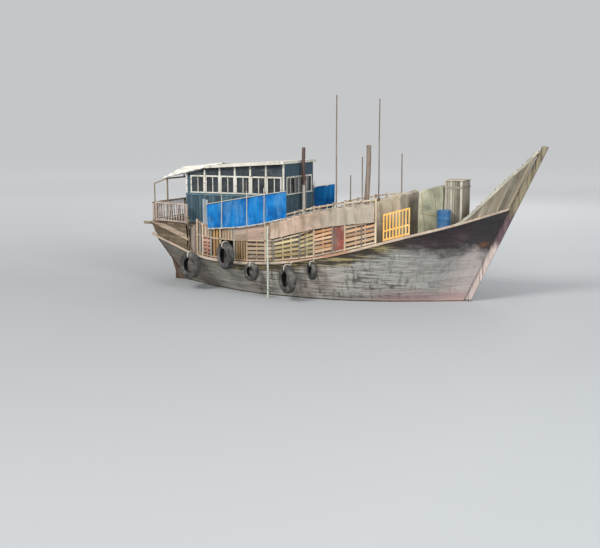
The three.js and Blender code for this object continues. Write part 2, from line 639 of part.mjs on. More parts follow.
const UPRIGHTS = {
  boards: { wide: 100, spacing: 115 },
  balusters: { wide: 36, spacing: 90 },
};
const STANCHION = 60;
const SCREEN_RAIL = { width: 45, height: 50, foot: 40, topWidth: 55 };
function screenPoint(x, height) {
  const sheer = sheerAt(x);
  return vec(x, sheer.y - SCREEN_IN, sheer.z + GAP + RAIL_THICK + SCREEN_CLEAR + height);
}
const screenTop = (x) => read(SCREEN_HEIGHTS, 'x', 'top', x);
const screenMid = (x) => read(SCREEN_HEIGHTS, 'x', 'mid', x);
function screenFill(kind, from, to, low, high) {
  if (kind === 'open') {
    return [];
  }
  const parts = [];
  const height = (high(from) - low(from) + high(to) - low(to)) / 2;
  if (kind === 'board') {
    const middle = (x) => (low(x) + high(x)) / 2;
    return [bar(screenPoint(from, middle(from)), screenPoint(to, middle(to)), SLAT.thick, height)];
  }
  if (kind === 'slats') {
    const rows = Math.floor(height / SLAT.spacing);
    for (let k = 1; k <= rows; k += 1) {
      const at = (x) => low(x) + (high(x) - low(x)) * k / (rows + 1);
      parts.push(bar(screenPoint(from, at(from)), screenPoint(to, at(to)), SLAT.thick, SLAT.height));
    }
    return parts;
  }
  const { wide, spacing } = UPRIGHTS[kind];
  const columns = Math.floor((to - from) / spacing);
  for (let k = 1; k < columns; k += 1) {
    const x = from + (to - from) * k / columns;
    parts.push(bar(screenPoint(x, low(x)), screenPoint(x, high(x)), SLAT.thick, wide));
  }
  return parts;
}
const bayEdges = [BAYS[0].from, ...BAYS.map((bay) => bay.to)];
function screenRail(heightAt, width, height) {
  const corners = rectangle(-width / 2, width / 2, -height / 2, height / 2);
  return loft(bayEdges.map((x) => {
    const p = screenPoint(x, heightAt(x));
    return corners.map(([a, b]) => vec(x, p.y + a, p.z + b));
  }));
}
// Tall poles among the stanchions: top is a height above the water.
const POLES = [
  { x: -3110, top: 3250 },
  { x: -1990, top: 4000 },
  { x: -1240, top: 3650 },
  { x: 280, top: 4050 },
  { x: 1400, top: 6870 },
  { x: 2300, top: 4880 },
];
const POLE_RADIUS = 28;
const STANCHION_OVER = 60;       // how far a stanchion stands above the top rail

// A tall board on the screen's top rail, at the curtain's after end
const TALL_BOARD = { x0: -3880, x1: -3670, top: 3300, thick: 30 };
function tallBoard() {
  const foot = screenPoint((TALL_BOARD.x0 + TALL_BOARD.x1) / 2, screenTop(TALL_BOARD.x0) - 20);
  return box(TALL_BOARD.x0, TALL_BOARD.x1, foot.y - TALL_BOARD.thick, foot.y, foot.z, TALL_BOARD.top);
}

function sideScreen() {
  const stanchions = bayEdges.map((x) => bar(
    screenPoint(x, 0), screenPoint(x, screenTop(x) + STANCHION_OVER), STANCHION, STANCHION,
  ));
  const poles = POLES.map(({ x, top }) => {
    const foot = screenPoint(x, 30);
    return pole(foot, vec(foot.x, foot.y, top), POLE_RADIUS, 6);
  });
  const screenFoot = () => SCREEN_RAIL.foot;
  const fills = BAYS.flatMap(({ from, to, low, high }) => [
    ...screenFill(low, from, to, screenFoot, screenMid), ...screenFill(high, from, to, screenMid, screenTop),
  ]);
  return joined([
    screenRail(screenFoot, SCREEN_RAIL.width, SCREEN_RAIL.height),
    screenRail(screenMid, SCREEN_RAIL.width, SCREEN_RAIL.height),
    screenRail(screenTop, SCREEN_RAIL.topWidth, SCREEN_RAIL.height),
    ...stanchions, ...fills, ...poles, tallBoard(),
  ]);
}
addPair('side_screen', sideScreen(), COLOURS.slat);

// Weather cloth outside the screens' upper half, and the blue curtain above them
function hungCloth(columns, thick) {
  return loft(columns.map(({ x, y, low, high }) => [
    vec(x, y, low), vec(x, y, high), vec(x, y - thick, high), vec(x, y - thick, low),
  ]));
}
const CLOTH_THICK = 14;
const CLOTH_OUT = 45;            // from the screens' line to the cloth's back
const CLOTH_XS = [-1020, -560, 70, 600, 1290, 1720, 2250, 2740];
const CLOTH_OVER = 10;           // how far the cloth reaches past the screens' middle rail and top rail
const weatherCloth = hungCloth(CLOTH_XS.map((x) => {
  const foot = screenPoint(x, screenMid(x) - CLOTH_OVER);
  const head = screenPoint(x, screenTop(x) + CLOTH_OVER);
  return { x, y: foot.y + CLOTH_OUT + CLOTH_THICK, low: foot.z, high: head.z };
}), CLOTH_THICK);
addPair('weather_cloth', weatherCloth, COLOURS.cream);
const CURTAIN = [
  { x: -3630, high: 3130 },
  { x: -3110, high: 3230 },
  { x: -2600, high: 3320 },
  { x: -1990, high: 3430 },
  { x: -1240, high: 3560 },
  { x: -400, high: 3700 },
];
const CURTAIN_OVER = 30;         // from the screens' top rail to the curtain's foot
const CURTAIN_OUT = 62;          // from the screens' line to the curtain's face
const CURTAIN_THICK = 20;
const curtain = CURTAIN.map(({ x, high }) => {
  const foot = screenPoint(x, screenTop(x) + CURTAIN_OVER);
  return { x, y: foot.y + CURTAIN_OUT, low: foot.z, high };
});
addPair('curtain', hungCloth(curtain, CURTAIN_THICK), COLOURS.blue);

// Wheelhouse: four walls with their windows cut, a door aft, a roof and an awning behind
const HOUSE = { x0: -4900, x1: -900, half: 1250, wall: 50, foot: POOP_Z + GAP };
const ROOF = { x0: -4000, x1: -840, zAft: 4430, rise: 0.06, half: 1450, thick: 50 };
const roofZ = (x) => ROOF.zAft + (x - ROOF.x0) * ROOF.rise;
const AWNING = { x0: -5800, x1: ROOF.x0 - 10, zAft: 3990, zFore: 4400, thick: 25, half: 1450 };
const awningZ = (x) => AWNING.zAft + (x - AWNING.x0) * (AWNING.zFore - AWNING.zAft) / (AWNING.x1 - AWNING.x0);
const wallTop = (x) => (x < ROOF.x0 ? awningZ(x) - 40 : roofZ(x) - GAP);
const WINDOW = { low: 3520, high: 4060, width: 480, pitch: 620, count: 6, first: -4640 };
const sideWindows = Array.from({ length: WINDOW.count }, (_, k) => {
  const x = WINDOW.first + k * WINDOW.pitch;
  return rectangle(x, x + WINDOW.width, WINDOW.low, WINDOW.high);
});
addPair('wheelhouse_wall', sheetXZ([
  [HOUSE.x0, HOUSE.foot], [HOUSE.x1, HOUSE.foot], [HOUSE.x1, wallTop(HOUSE.x1)],
  [ROOF.x0, wallTop(ROOF.x0)], [ROOF.x0 - 20, wallTop(ROOF.x0 - 20)], [HOUSE.x0, wallTop(HOUSE.x0)],
], HOUSE.half - HOUSE.wall, HOUSE.half, sideWindows), COLOURS.teal);
const END_HALF = HOUSE.half - HOUSE.wall - GAP;
const frontWindows = [-1050, -330, 390].map((y) => rectangle(y, y + 660, WINDOW.low, WINDOW.high));
addPiece('wheelhouse_front', sheetYZ(
  rectangle(-END_HALF, END_HALF, HOUSE.foot, roofZ(HOUSE.x1 - HOUSE.wall) - GAP),
  HOUSE.x1 - HOUSE.wall, HOUSE.x1, frontWindows,
), COLOURS.teal);
const DOOR = { half: 340, height: 1650, gap: 6, thick: 40 };
const doorTop = HOUSE.foot + DOOR.height;
const backTop = wallTop(HOUSE.x0) - 20;
addPiece('wheelhouse_back', sheetYZ([
  [-END_HALF, HOUSE.foot], [-DOOR.half, HOUSE.foot], [-DOOR.half, doorTop], [DOOR.half, doorTop],
  [DOOR.half, HOUSE.foot], [END_HALF, HOUSE.foot], [END_HALF, backTop], [-END_HALF, backTop],
], HOUSE.x0, HOUSE.x0 + HOUSE.wall, [
  rectangle(-1050, -550, WINDOW.low, 3980), rectangle(550, 1050, WINDOW.low, 3980),
]), COLOURS.teal);
addPiece('wheelhouse_door', sheetYZ(
  rectangle(-DOOR.half + DOOR.gap, DOOR.half - DOOR.gap, HOUSE.foot + 12, doorTop - DOOR.gap),
  HOUSE.x0, HOUSE.x0 + DOOR.thick, [rectangle(-200, 200, WINDOW.low, 3900)],
), COLOURS.white);
function slopingSheet({ x0, x1, half, thick }, zAft, zFore) {
  return sheetXZ([[x0, zAft], [x1, zFore], [x1, zFore + thick], [x0, zAft + thick]], -half, half);
}
addPiece('wheelhouse_roof', slopingSheet(ROOF, roofZ(ROOF.x0), roofZ(ROOF.x1)), COLOURS.white);
addPiece('aft_awning', slopingSheet(AWNING, AWNING.zAft, AWNING.zFore), COLOURS.white);
const AWNING_POST = { x: -5740, y: 1190, radius: 30, beamOver: 60, beamWidth: 60, beamHeight: 50 };
const CORNER_POST = { x: -6337, y: 1140, radius: 22, top: 3760, tie: 36 };
const awningHead = awningZ(AWNING_POST.x) - 42;
const awningPoint = (y, z) => vec(AWNING_POST.x, y, z);
const awningBeamHalf = AWNING_POST.y + AWNING_POST.beamOver;
addPiece('awning_frame', joined([
  ...[-AWNING_POST.y, AWNING_POST.y].map((y) => pole(
    awningPoint(y, POOP_Z + GAP), awningPoint(y, awningHead), AWNING_POST.radius,
  )),
  bar(awningPoint(-awningBeamHalf, awningHead), awningPoint(awningBeamHalf, awningHead),
    AWNING_POST.beamWidth, AWNING_POST.beamHeight),
  ...[-CORNER_POST.y, CORNER_POST.y].flatMap((y) => {
    const head = vec(CORNER_POST.x, y, CORNER_POST.top);
    return [
      pole(vec(CORNER_POST.x, y, POOP_Z + GAP), head, CORNER_POST.radius),
      bar(head, vec(AWNING_POST.x, Math.sign(y) * AWNING_POST.y, awningHead), CORNER_POST.tie, CORNER_POST.tie),
    ];
  }),
]), COLOURS.timber);

// Helm: a spoked wheel on a pedestal at the front of the wheelhouse
const HELM = { x: -1650, z: 3320, radius: 340, hubHalf: 45, hubRadius: 55, rimRadius: 270, gap: 10 };
const PEDESTAL = { length: 250, half: 150, over: 150 };
function helmWheel() {
  const rim = new THREE.TorusGeometry(HELM.rimRadius, 22, 6, 18).rotateY(Math.PI / 2);
  const hub = pole(vec(-HELM.hubHalf, 0, 0), vec(HELM.hubHalf, 0, 0), HELM.hubRadius, 12);
  const spokes = Array.from({ length: 3 }, (_, k) => {
    const angle = k * Math.PI / 3;
    const tip = vec(0, Math.cos(angle) * HELM.radius, Math.sin(angle) * HELM.radius);
    return pole(tip.clone().negate(), tip, 16, 6);
  });
  return joined([rim, hub, ...spokes]).translate(HELM.x, 0, HELM.z);
}
addPiece('helm_wheel', helmWheel(), COLOURS.timber);
const pedestalX = HELM.x + HELM.hubHalf + HELM.gap;
addPiece('helm_pedestal', box(
  pedestalX, pedestalX + PEDESTAL.length, -PEDESTAL.half, PEDESTAL.half, HOUSE.foot, HELM.z + PEDESTAL.over,
), COLOURS.timber);

// Short mast, a post before the wheelhouse, a spar hung outside the rail, the ladder and the bitts
const MAST = { x: 1760, lean: 60, top: 5220, radius: 100 };
addPiece('mast', pole(
  vec(MAST.x - MAST.lean, 0, DECK_Z + 3), vec(MAST.x, 0, MAST.top), MAST.radius, 14,
), COLOURS.timber);
const HOUSE_POST = { x: -720, top: 5120, radius: 75 };
addPiece('house_post', pole(
  vec(HOUSE_POST.x, 0, POOP_Z + GAP), vec(HOUSE_POST.x, 0, HOUSE_POST.top), HOUSE_POST.radius, 12,
), COLOURS.timber);
const SPAR = { x: -1060, low: -260, high: 2480, radius: 34, out: 160 };
const sparY = -sheerAt(SPAR.x).y - SPAR.out;
addPiece('outer_spar', pole(
  vec(SPAR.x, sparY, SPAR.low), vec(SPAR.x, sparY, SPAR.high), SPAR.radius, 10,
), COLOURS.cream);
const LADDER = { foot: -80, head: POOP_X1 + 30, y: 1150, half: 230, steps: 6, stepWidth: 120, stepThick: 30 };
function ladder() {
  const low = DECK_Z + 60;
  const rise = POOP_Z + 60 - DECK_Z;
  const run = LADDER.head - LADDER.foot;
  const at = (t, side) => vec(LADDER.foot + run * t, LADDER.y + side * LADDER.half, low + rise * t);
  const parts = [-1, 1].map((side) => bar(at(0, side), at(1, side), 40, 110));
  for (let k = 1; k <= LADDER.steps; k += 1) {
    const t = k / (LADDER.steps + 1);
    parts.push(bar(at(t, -1), at(t, 1), LADDER.stepWidth, LADDER.stepThick));
  }
  return joined(parts);
}
addPiece('poop_ladder', ladder(), COLOURS.timber);
const BITTS = { x: 5350, half: 260, post: 55, height: 520 };
const BITTS_BAR = { low: 300, high: 390, x0: 5305, x1: 5395, half: 460 };
const bittsZ = foreDeckZ(BITTS.x + BITTS.post) + 4;
addPiece('fore_bitts', joined([
  ...[-BITTS.half, BITTS.half].map((y) => box(
    BITTS.x - BITTS.post, BITTS.x + BITTS.post, y - BITTS.post, y + BITTS.post, bittsZ, bittsZ + BITTS.height,
  )),
  box(BITTS_BAR.x0, BITTS_BAR.x1, -BITTS_BAR.half, BITTS_BAR.half,
    bittsZ + BITTS_BAR.low, bittsZ + BITTS_BAR.high),
]), COLOURS.timber);

// Gear on the foredeck: a yellow grating on the rail, a blue drum, and two covered lockers
const GRATING = { x0: 3040, x1: 3860, low: 40, mid: 330, high: 860, slats: 8, railWidth: 30, railHeight: 60 };
function grating() {
  const point = (x, height) => {
    const p = screenPoint(x, height);
    return vec(p.x, -p.y, p.z);
  };
  const parts = [GRATING.low, GRATING.mid, GRATING.high].map((height) => bar(
    point(GRATING.x0, height), point(GRATING.x1, height), GRATING.railWidth, GRATING.railHeight,
  ));
  for (let k = 0; k <= GRATING.slats; k += 1) {
    const x = GRATING.x0 + (GRATING.x1 - GRATING.x0) * k / GRATING.slats;
    parts.push(bar(point(x, 5), point(x, GRATING.high + 20), 26, 45));
  }
  return joined(parts);
}
addPiece('yellow_grating', grating(), COLOURS.yellow);
const DRUM = { x: 4720, y: -850, radius: 235, height: 880 };
const drumZ = foreDeckZ(DRUM.x + DRUM.radius) + 2;
addPiece('blue_drum', pole(
  vec(DRUM.x, DRUM.y, drumZ), vec(DRUM.x, DRUM.y, drumZ + DRUM.height), DRUM.radius, 20,
), COLOURS.blue);
const EAVE = { run: 120, drop: 60 };
// A locker under its cover. Its top slopes from aft up to fore; both are heights above the water.
function coveredLocker({ x0, x1, half, aft, fore }) {
  return sheetXZ([
    [x0, foreDeckZ(x0) + 2], [x1, foreDeckZ(x1) + 2], [x1, fore - EAVE.drop], [x1 - EAVE.run, fore],
    [x0 + EAVE.run, aft], [x0, aft - EAVE.drop],
  ], -half, half);
}
addPiece('covered_locker_fore', coveredLocker({ x0: 3740, x1: 4600, half: 570, aft: 3790, fore: 3960 }),
  COLOURS.wing);
addPiece('covered_locker_aft', coveredLocker({ x0: 2420, x1: 3300, half: 1100, aft: 3430, fore: 3700 }),
  COLOURS.cream);
const CUPBOARD = { x0: 4640, x1: 5240, half: 540, top: 4080, roofOver: 30, roofThick: 30 };
addPiece('boarded_cupboard', joined([
  sheetXZ([
    [CUPBOARD.x0, foreDeckZ(CUPBOARD.x0) + 2], [CUPBOARD.x1, foreDeckZ(CUPBOARD.x1) + 2],
    [CUPBOARD.x1, CUPBOARD.top], [CUPBOARD.x0, CUPBOARD.top],
  ], -CUPBOARD.half, CUPBOARD.half),
  box(CUPBOARD.x0 - CUPBOARD.roofOver, CUPBOARD.x1 + CUPBOARD.roofOver, -CUPBOARD.half - CUPBOARD.roofOver,
    CUPBOARD.half + CUPBOARD.roofOver, CUPBOARD.top - 1, CUPBOARD.top + CUPBOARD.roofThick),
]), COLOURS.wing);

// Tyre fenders, hung from one line along each rail
const FENDERS = [
  { x: -4250, z: 920, size: 490, turn: 0.3 },
  { x: -2640, z: 1400, size: 490, turn: 0.6 },
  { x: -1680, z: 880, size: 330, turn: 0.35 },
  { x: -170, z: 760, size: 490, turn: 0.7 },
  { x: 670, z: 1080, size: 310, turn: 0.7 },
];
const LINE = { x0: -4700, x1: 1000, steps: 12, radius: 16, off: 12 };
const FENDER_CLEAR = 10;
function tyre(size) {
  const inner = size * 0.52;
  const half = size * 0.26;
  const profile = [
    [inner, -half * 0.8], [size * 0.86, -half], [size, -half * 0.6], [size, half * 0.6], [size * 0.86, half],
    [inner, half * 0.8], [inner, -half * 0.8],
  ].map(([r, h]) => new THREE.Vector2(r, h));
  return new THREE.LatheGeometry(profile, 18);
}
function fenders() {
  const linePoint = (x) => {
    const p = screenPoint(x, -RAIL_THICK / 2 - SCREEN_CLEAR);
    return vec(p.x, p.y + SCREEN_IN + RAIL_OUT + LINE.off + LINE.radius, p.z);
  };
  const lineSections = Array.from({ length: LINE.steps + 1 }, (_, k) => {
    const p = linePoint(LINE.x0 + (LINE.x1 - LINE.x0) * k / LINE.steps);
    return [0, 1, 2, 3, 4, 5].map((n) => n * Math.PI / 3)
      .map((turn) => vec(p.x, p.y + LINE.radius * Math.cos(turn), p.z + LINE.radius * Math.sin(turn)));
  });
  const parts = [loft(lineSections)];
  for (const { x, z, size, turn } of FENDERS) {
    const hang = linePoint(x);
    const widest = Math.max(...[-1, 0, 1].map((side) => {
      const px = x + side * size * Math.cos(turn);
      return outerY(px, Math.min(z + size, sheerZ(uAt(px, z)) - 40));
    }));
    const off = Math.max(hang.y, widest + size * Math.sin(turn) + size * 0.26 + FENDER_CLEAR);
    parts.push(tyre(size).rotateZ(turn).translate(x, off, z));
    parts.push(pole(hang, vec(x, off, z + size * 0.8), 14, 6));
  }
  return joined(parts);
}
addPair('fenders', fenders(), COLOURS.rubber, 0.9);

export default boat;
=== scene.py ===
"""The looks of a wooden motor dhow, afloat: its weathered timber, painted boards, cloths, tyres and gear.

Metres. x runs forward, y to port, z up, from amidships on the waterline.
"""

import math
import random
from contextlib import contextmanager
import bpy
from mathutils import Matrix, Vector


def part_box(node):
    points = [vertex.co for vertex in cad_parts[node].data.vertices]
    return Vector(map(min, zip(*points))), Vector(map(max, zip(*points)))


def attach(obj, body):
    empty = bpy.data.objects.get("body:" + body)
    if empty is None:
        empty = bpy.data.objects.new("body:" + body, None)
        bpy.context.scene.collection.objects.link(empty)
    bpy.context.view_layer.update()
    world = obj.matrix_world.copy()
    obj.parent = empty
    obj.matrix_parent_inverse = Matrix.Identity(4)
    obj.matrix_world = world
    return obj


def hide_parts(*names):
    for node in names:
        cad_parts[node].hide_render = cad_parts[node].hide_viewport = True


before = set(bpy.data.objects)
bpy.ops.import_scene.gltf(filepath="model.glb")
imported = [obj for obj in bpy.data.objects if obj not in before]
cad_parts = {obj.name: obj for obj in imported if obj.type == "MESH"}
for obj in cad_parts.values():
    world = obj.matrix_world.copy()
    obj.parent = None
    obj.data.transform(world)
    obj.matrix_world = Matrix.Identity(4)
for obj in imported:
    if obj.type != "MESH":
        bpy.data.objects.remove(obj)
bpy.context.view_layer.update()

from types import SimpleNamespace

import bmesh
import bpy
import numpy as np
from mathutils import Matrix, Vector
from mathutils.bvhtree import BVHTree

BOAT = "boat"
STARBOARD, PORT = -1, 1
SIDES = {"starboard": STARBOARD, "port": PORT}
AHEAD, TO_PORT, UP = Vector((1, 0, 0)), Vector((0, 1, 0)), Vector((0, 0, 1))


def linked(name, data):
    """A new object of the data, in the scene."""
    made = bpy.data.objects.new(name, data)
    bpy.context.scene.collection.objects.link(made)
    return made


def between(start, end, share):
    """The value or point at a share of the way from start to end."""
    return start + (end - start) * share


def on_axis(axis, value, others=0):
    """Three numbers: a value on one axis, and another number on the other two."""
    return tuple(value if i == axis else others for i in range(3))


# Camera, lights and air

EYE = Vector((12.53, -29.80, 5.80))
LOOK = (-0.410, 0.912)          # level direction of the view
PITCH = math.radians(9.2)       # how far it looks down
LENS_MM = 54
SIGHT = 900                     # past the floor's far edge
LAMPS = (                       # name, place, height it aims at, size, power, colour
    ("key", (-10, -36, 30), 1, 16, 14600, (1.0, 0.975, 0.94)),
    ("fill", (32, -20, 18), 1, 14, 7600, (0.95, 0.97, 1.0)),
    ("back", (-6, 34, 26), 2, 24, 1900, (0.97, 0.98, 1.0)),
)
AIR, AIR_STRENGTH = (0.76, 0.77, 0.79, 1), 0.73


def aim(thing, place, way):
    thing.location = place
    thing.rotation_euler = way.to_track_quat("-Z", "Y").to_euler()


def set_camera():
    camera = linked("camera", bpy.data.cameras.new("camera"))
    camera.data.lens = LENS_MM
    camera.data.clip_end = SIGHT
    level = math.cos(PITCH)
    aim(camera, EYE, Vector((LOOK[0] * level, LOOK[1] * level, -math.sin(PITCH))))
    bpy.context.scene.camera = camera


def set_lights():
    for name, place, height, size, power, colour in LAMPS:
        lamp = linked(name, bpy.data.lights.new(name, "AREA"))
        lamp.data.size = size
        lamp.data.energy = power
        lamp.data.color = colour
        aim(lamp, place, Vector((0, 0, height)) - Vector(place))
    world = bpy.data.worlds.new("studio")
    world.use_nodes = True
    world.node_tree.nodes["Background"].inputs["Color"].default_value = AIR
    world.node_tree.nodes["Background"].inputs["Strength"].default_value = AIR_STRENGTH
    bpy.context.scene.world = world
    bpy.context.scene.view_settings.view_transform = "Standard"


# Nodes for the materials

def linear(code):
    """A colour written as six hexadecimal digits, as the shaders take it."""
    parts = [int(code[i:i + 2], 16) / 255 for i in (0, 2, 4)]
    return tuple(c / 12.92 if c <= 0.04045 else ((c + 0.055) / 1.055) ** 2.4 for c in parts) + (1,)


class Field:
    """A number or vector that varies over a surface. Arithmetic on it adds Math nodes."""

    def __init__(self, finish, socket):
        self.finish = finish
        self.socket = socket

    def _math(self, operation, *values):
        return self.finish.node("ShaderNodeMath", {"operation": operation}, dict(enumerate(values)))

    def __add__(self, other):
        return self._math("ADD", self, other)

    def __sub__(self, other):
        return self._math("SUBTRACT", self, other)

    def __rsub__(self, other):
        return self._math("SUBTRACT", other, self)

    def __mul__(self, other):
        return self._math("MULTIPLY", self, other)

    def __truediv__(self, other):
        return self._math("DIVIDE", self, other)

    def __mod__(self, other):
        return self._math("FLOORED_MODULO", self, other)

    __radd__ = __add__

    def floor(self):
        return self._math("FLOOR", self)

    def size(self):
        return self._math("ABSOLUTE", self)

    def root(self):
        return self._math("SQRT", self)

    def larger(self, other):
        return self._math("MAXIMUM", self, other)

    def smaller(self, other):
        return self._math("MINIMUM", self, other)

    def above(self, level, soft):
        """0 well under level, 1 well over it, and a ramp of width soft between."""
        return self.finish.node("ShaderNodeMapRange", {"interpolation_type": "SMOOTHSTEP"}, {
            "Value": self, "From Min": level - soft / 2, "From Max": level + soft / 2})

    def below(self, level, soft):
        return 1 - self.above(level, soft)


class Finish:
    """A material with one Principled shader and the nodes that feed it."""

    def __init__(self, name):
        self.material = bpy.data.materials.new(name)
        self.material.use_nodes = True
        self.tree = self.material.node_tree
        self.shader = self.tree.nodes["Principled BSDF"]
        self.bumps = None
        self.colour = None
        self.place = self.node("ShaderNodeTexCoord", output="Object")
        self.x, self.y, self.z = self.axes(self.place)

    def node(self, kind, settings=None, inputs=None, output=0):
        """A node of that kind, its settings first, then its sockets. A ramp's stops are a setting."""
        made = self.tree.nodes.new(kind)
        for key, value in (settings or {}).items():
            if key == "stops":
                self._set_stops(made.color_ramp, value)
            else:
                setattr(made, key, value)
        for key, value in (inputs or {}).items():
            self._feed(made.inputs[key], value)
        return Field(self, made.outputs[output])

    def _feed(self, socket, value):
        if isinstance(value, Field):
            self.tree.links.new(value.socket, socket)
        else:
            socket.default_value = value

    def _set_stops(self, ramp, stops):
        while len(ramp.elements) < len(stops):
            ramp.elements.new(1)
        for element, (place, colour) in zip(ramp.elements, stops):
            element.position = place
            element.color = linear(colour) if isinstance(colour, str) else (colour,) * 3 + (1,)

    def own(self, name, output="Vector"):
        """One of the piece's own attributes."""
        return self.node("ShaderNodeAttribute", {"attribute_name": name}, output=output)

    def axes(self, vector):
        split = self.node("ShaderNodeSeparateXYZ", inputs={0: vector})
        return [Field(self, split.socket.node.outputs[i]) for i in range(3)]

    def noise(self, scale, detail=3, rough=0.6, twist=0, vector=None):
        """Noise over the piece, or over a vector. Three scales stretch it along the axes."""
        vector = vector or self.place
        if isinstance(scale, tuple):
            vector = self.node("ShaderNodeVectorMath", {"operation": "MULTIPLY"}, {0: vector, 1: scale})
            scale = 1.0
        return self.node("ShaderNodeTexNoise", None, {
            "Vector": vector, "Scale": scale, "Detail": detail, "Roughness": rough, "Distortion": twist})

    def grain(self, along, vector=None):
        """Fine fibres and long streaks that run along one axis."""
        fibres = self.noise(on_axis(along, 1.6, 38.0), 4, 0.65, vector=vector)
        return fibres, self.noise(on_axis(along, 0.55, 9.0), 3, 0.6, 0.3, vector)

    def ramp(self, value, *stops):
        return self.node("ShaderNodeValToRGB", {"stops": stops}, {0: value})

    def blend(self, share, first, second, how="MIX"):
        """Two colours by a share: a code or a field each."""
        first, second = [linear(c) if isinstance(c, str) else c for c in (first, second)]
        return self.node("ShaderNodeMix", {"data_type": "RGBA", "blend_type": how}, {
            0: share, 6: first, 7: second}, output=2)

    def over(self, share, colour, how="MIX"):
        """Lays one more colour over the finish, by a share."""
        self.colour = self.blend(share, self.colour, colour, how)

    def vary(self, share, *stops):
        """Makes each loose part of the piece paler or darker than the next."""
        own = self.node("ShaderNodeNewGeometry", output="Random Per Island")
        self.over(share, self.ramp(own, *stops), "MULTIPLY")

    def bump(self, height, depth, strength=1.0):
        """Height, from 0 to 1, raises the surface by depth, in metres."""
        inputs = {"Height": height, "Distance": depth, "Strength": strength}
        if self.bumps is not None:
            inputs["Normal"] = self.bumps
        self.bumps = self.node("ShaderNodeBump", None, inputs)

    def done(self, rough=0.8, metallic=0.0, sheen=0.0, gloss=0.2):
        values = {"Base Color": self.colour, "Roughness": rough, "Metallic": metallic, "Sheen Weight": sheen,
                  "Specular IOR Level": gloss}
        if self.bumps is not None:
            values["Normal"] = self.bumps
        for name, value in values.items():
            self._feed(self.shader.inputs[name], value)
        return self.material


def plank_pattern(finish, across, along, width, length):
    """Seams between planks of a width, with butts staggered along them: (seam, a number for each plank)."""
    row = (across / width).floor()
    butt = along / length + ((row * 0.618) % 1.0) * 3.0
    plank = finish.node("ShaderNodeTexWhiteNoise", {"noise_dimensions": "2D"}, {
        "Vector": finish.node("ShaderNodeCombineXYZ", None, {0: row * 7.31, 1: butt.floor() * 3.17})})
    edge = ((across / width) % 1.0 - 0.5).size()
    end = ((butt % 1.0) - 0.5).size()
    seam = edge.above(0.5 - 0.006 / width, 0.008 / width)
    joint = end.above(0.5 - 0.004 / length, 0.006 / length)
    return seam.larger(joint), plank


# Materials

def wood(name, dark, mid, light, grained=False, along=0, grey="8f8a82", grey_share=0.35, tinted=False,
         paint=None):
    """Weathered timber: grain, streaks, greyed patches and dirt in the grain.

    grained follows the piece's own grain. paint is (from x, to x, colour) for a painted length."""
    finish = Finish(name)
    fibres, streaks = finish.grain(along, finish.own("grain") if grained else None)
    tone = fibres * 0.45 + streaks * 0.55
    finish.colour = finish.ramp(tone, (0.30, dark), (0.50, mid), (0.72, light))
    if tinted:
        finish.over(0.94, finish.own("tint", "Color"), "MULTIPLY")
        finish.vary(0.8, (0.0, 0.66), (0.5, 0.93), (1.0, 1.2))
    finish.over(finish.noise(1.7, 4).above(0.54, 0.22) * grey_share, grey)
    if paint:
        start, end, colour = paint
        finish.over(finish.x.above(start, 0.3) * finish.x.below(end, 0.3) * 0.65, colour)
    finish.over(finish.noise(6.0, 4, 0.7).above(0.62, 0.2) * 0.45, dark)
    finish.bump(fibres, 0.0015)
    finish.bump(streaks, 0.0024, 0.7)
    return finish.done(finish.ramp(tone, (0.2, 0.95), (0.8, 0.72)))


HULL_STRAKES = 20               # planks between the rabbet and the sheer
HULL_ROWS = 10                  # rows of faces that the strake attribute counts from the sheer
BUTT_SPACING = 4.2              # from one plank's end to the next
BAND_START, BAND_GROWTH = 2.3, 0.72     # where the dark band begins, and its rows for each metre forward
STEM_RAKE = 0.48                # how far the stem goes forward for each metre up
RUST_SPOT = (5.00, 2.00)        # the rusty patch at the band's foot: the place along the rake, and its height


def bleached_planks(finish, plank, fibres, streaks):
    """The hull's bare timber: pinkish aft, greyer forward, with dark runs and long scores amidships."""
    tone = fibres * 0.4 + streaks * 0.35 + plank * 0.25
    finish.colour = finish.ramp(tone, (0.26, "6c6761"), (0.46, "918d86"), (0.60, "a6a29b"), (0.76, "c6c3bb"))
    patches = finish.noise((0.55, 1, 1.3), 4, 0.62)
    finish.over(patches.above(0.50, 0.25) * 0.45, "9b968e")
    finish.over(patches.above(0.60, 0.16) * 0.5, "8a9085")
    rosy = finish.noise((0.9, 1, 0.9)).above(0.52, 0.2)
    finish.over(rosy * finish.x.below(1.6, 1.6) * 0.40, "ac968d")
    finish.over(finish.x.above(1.8, 1.6) * 0.34, "a0a3a2")
    runs = finish.noise((7.0, 7.0, 0.45), 4, 0.65)
    amidships = finish.x.above(-1.5, 3.0) * finish.x.below(3.6, 2.0)
    finish.over(runs.above(0.57, 0.12) * (amidships * 0.42 + 0.26), "554d4a")
    scores = finish.noise((1.1, 1.1, 17.0))
    finish.over(scores.above(0.575, 0.05) * (amidships * 0.68 + 0.08), "453d38")
    finish.over(scores.below(0.40, 0.08) * 0.40, "d2cdc4")
    return runs, scores


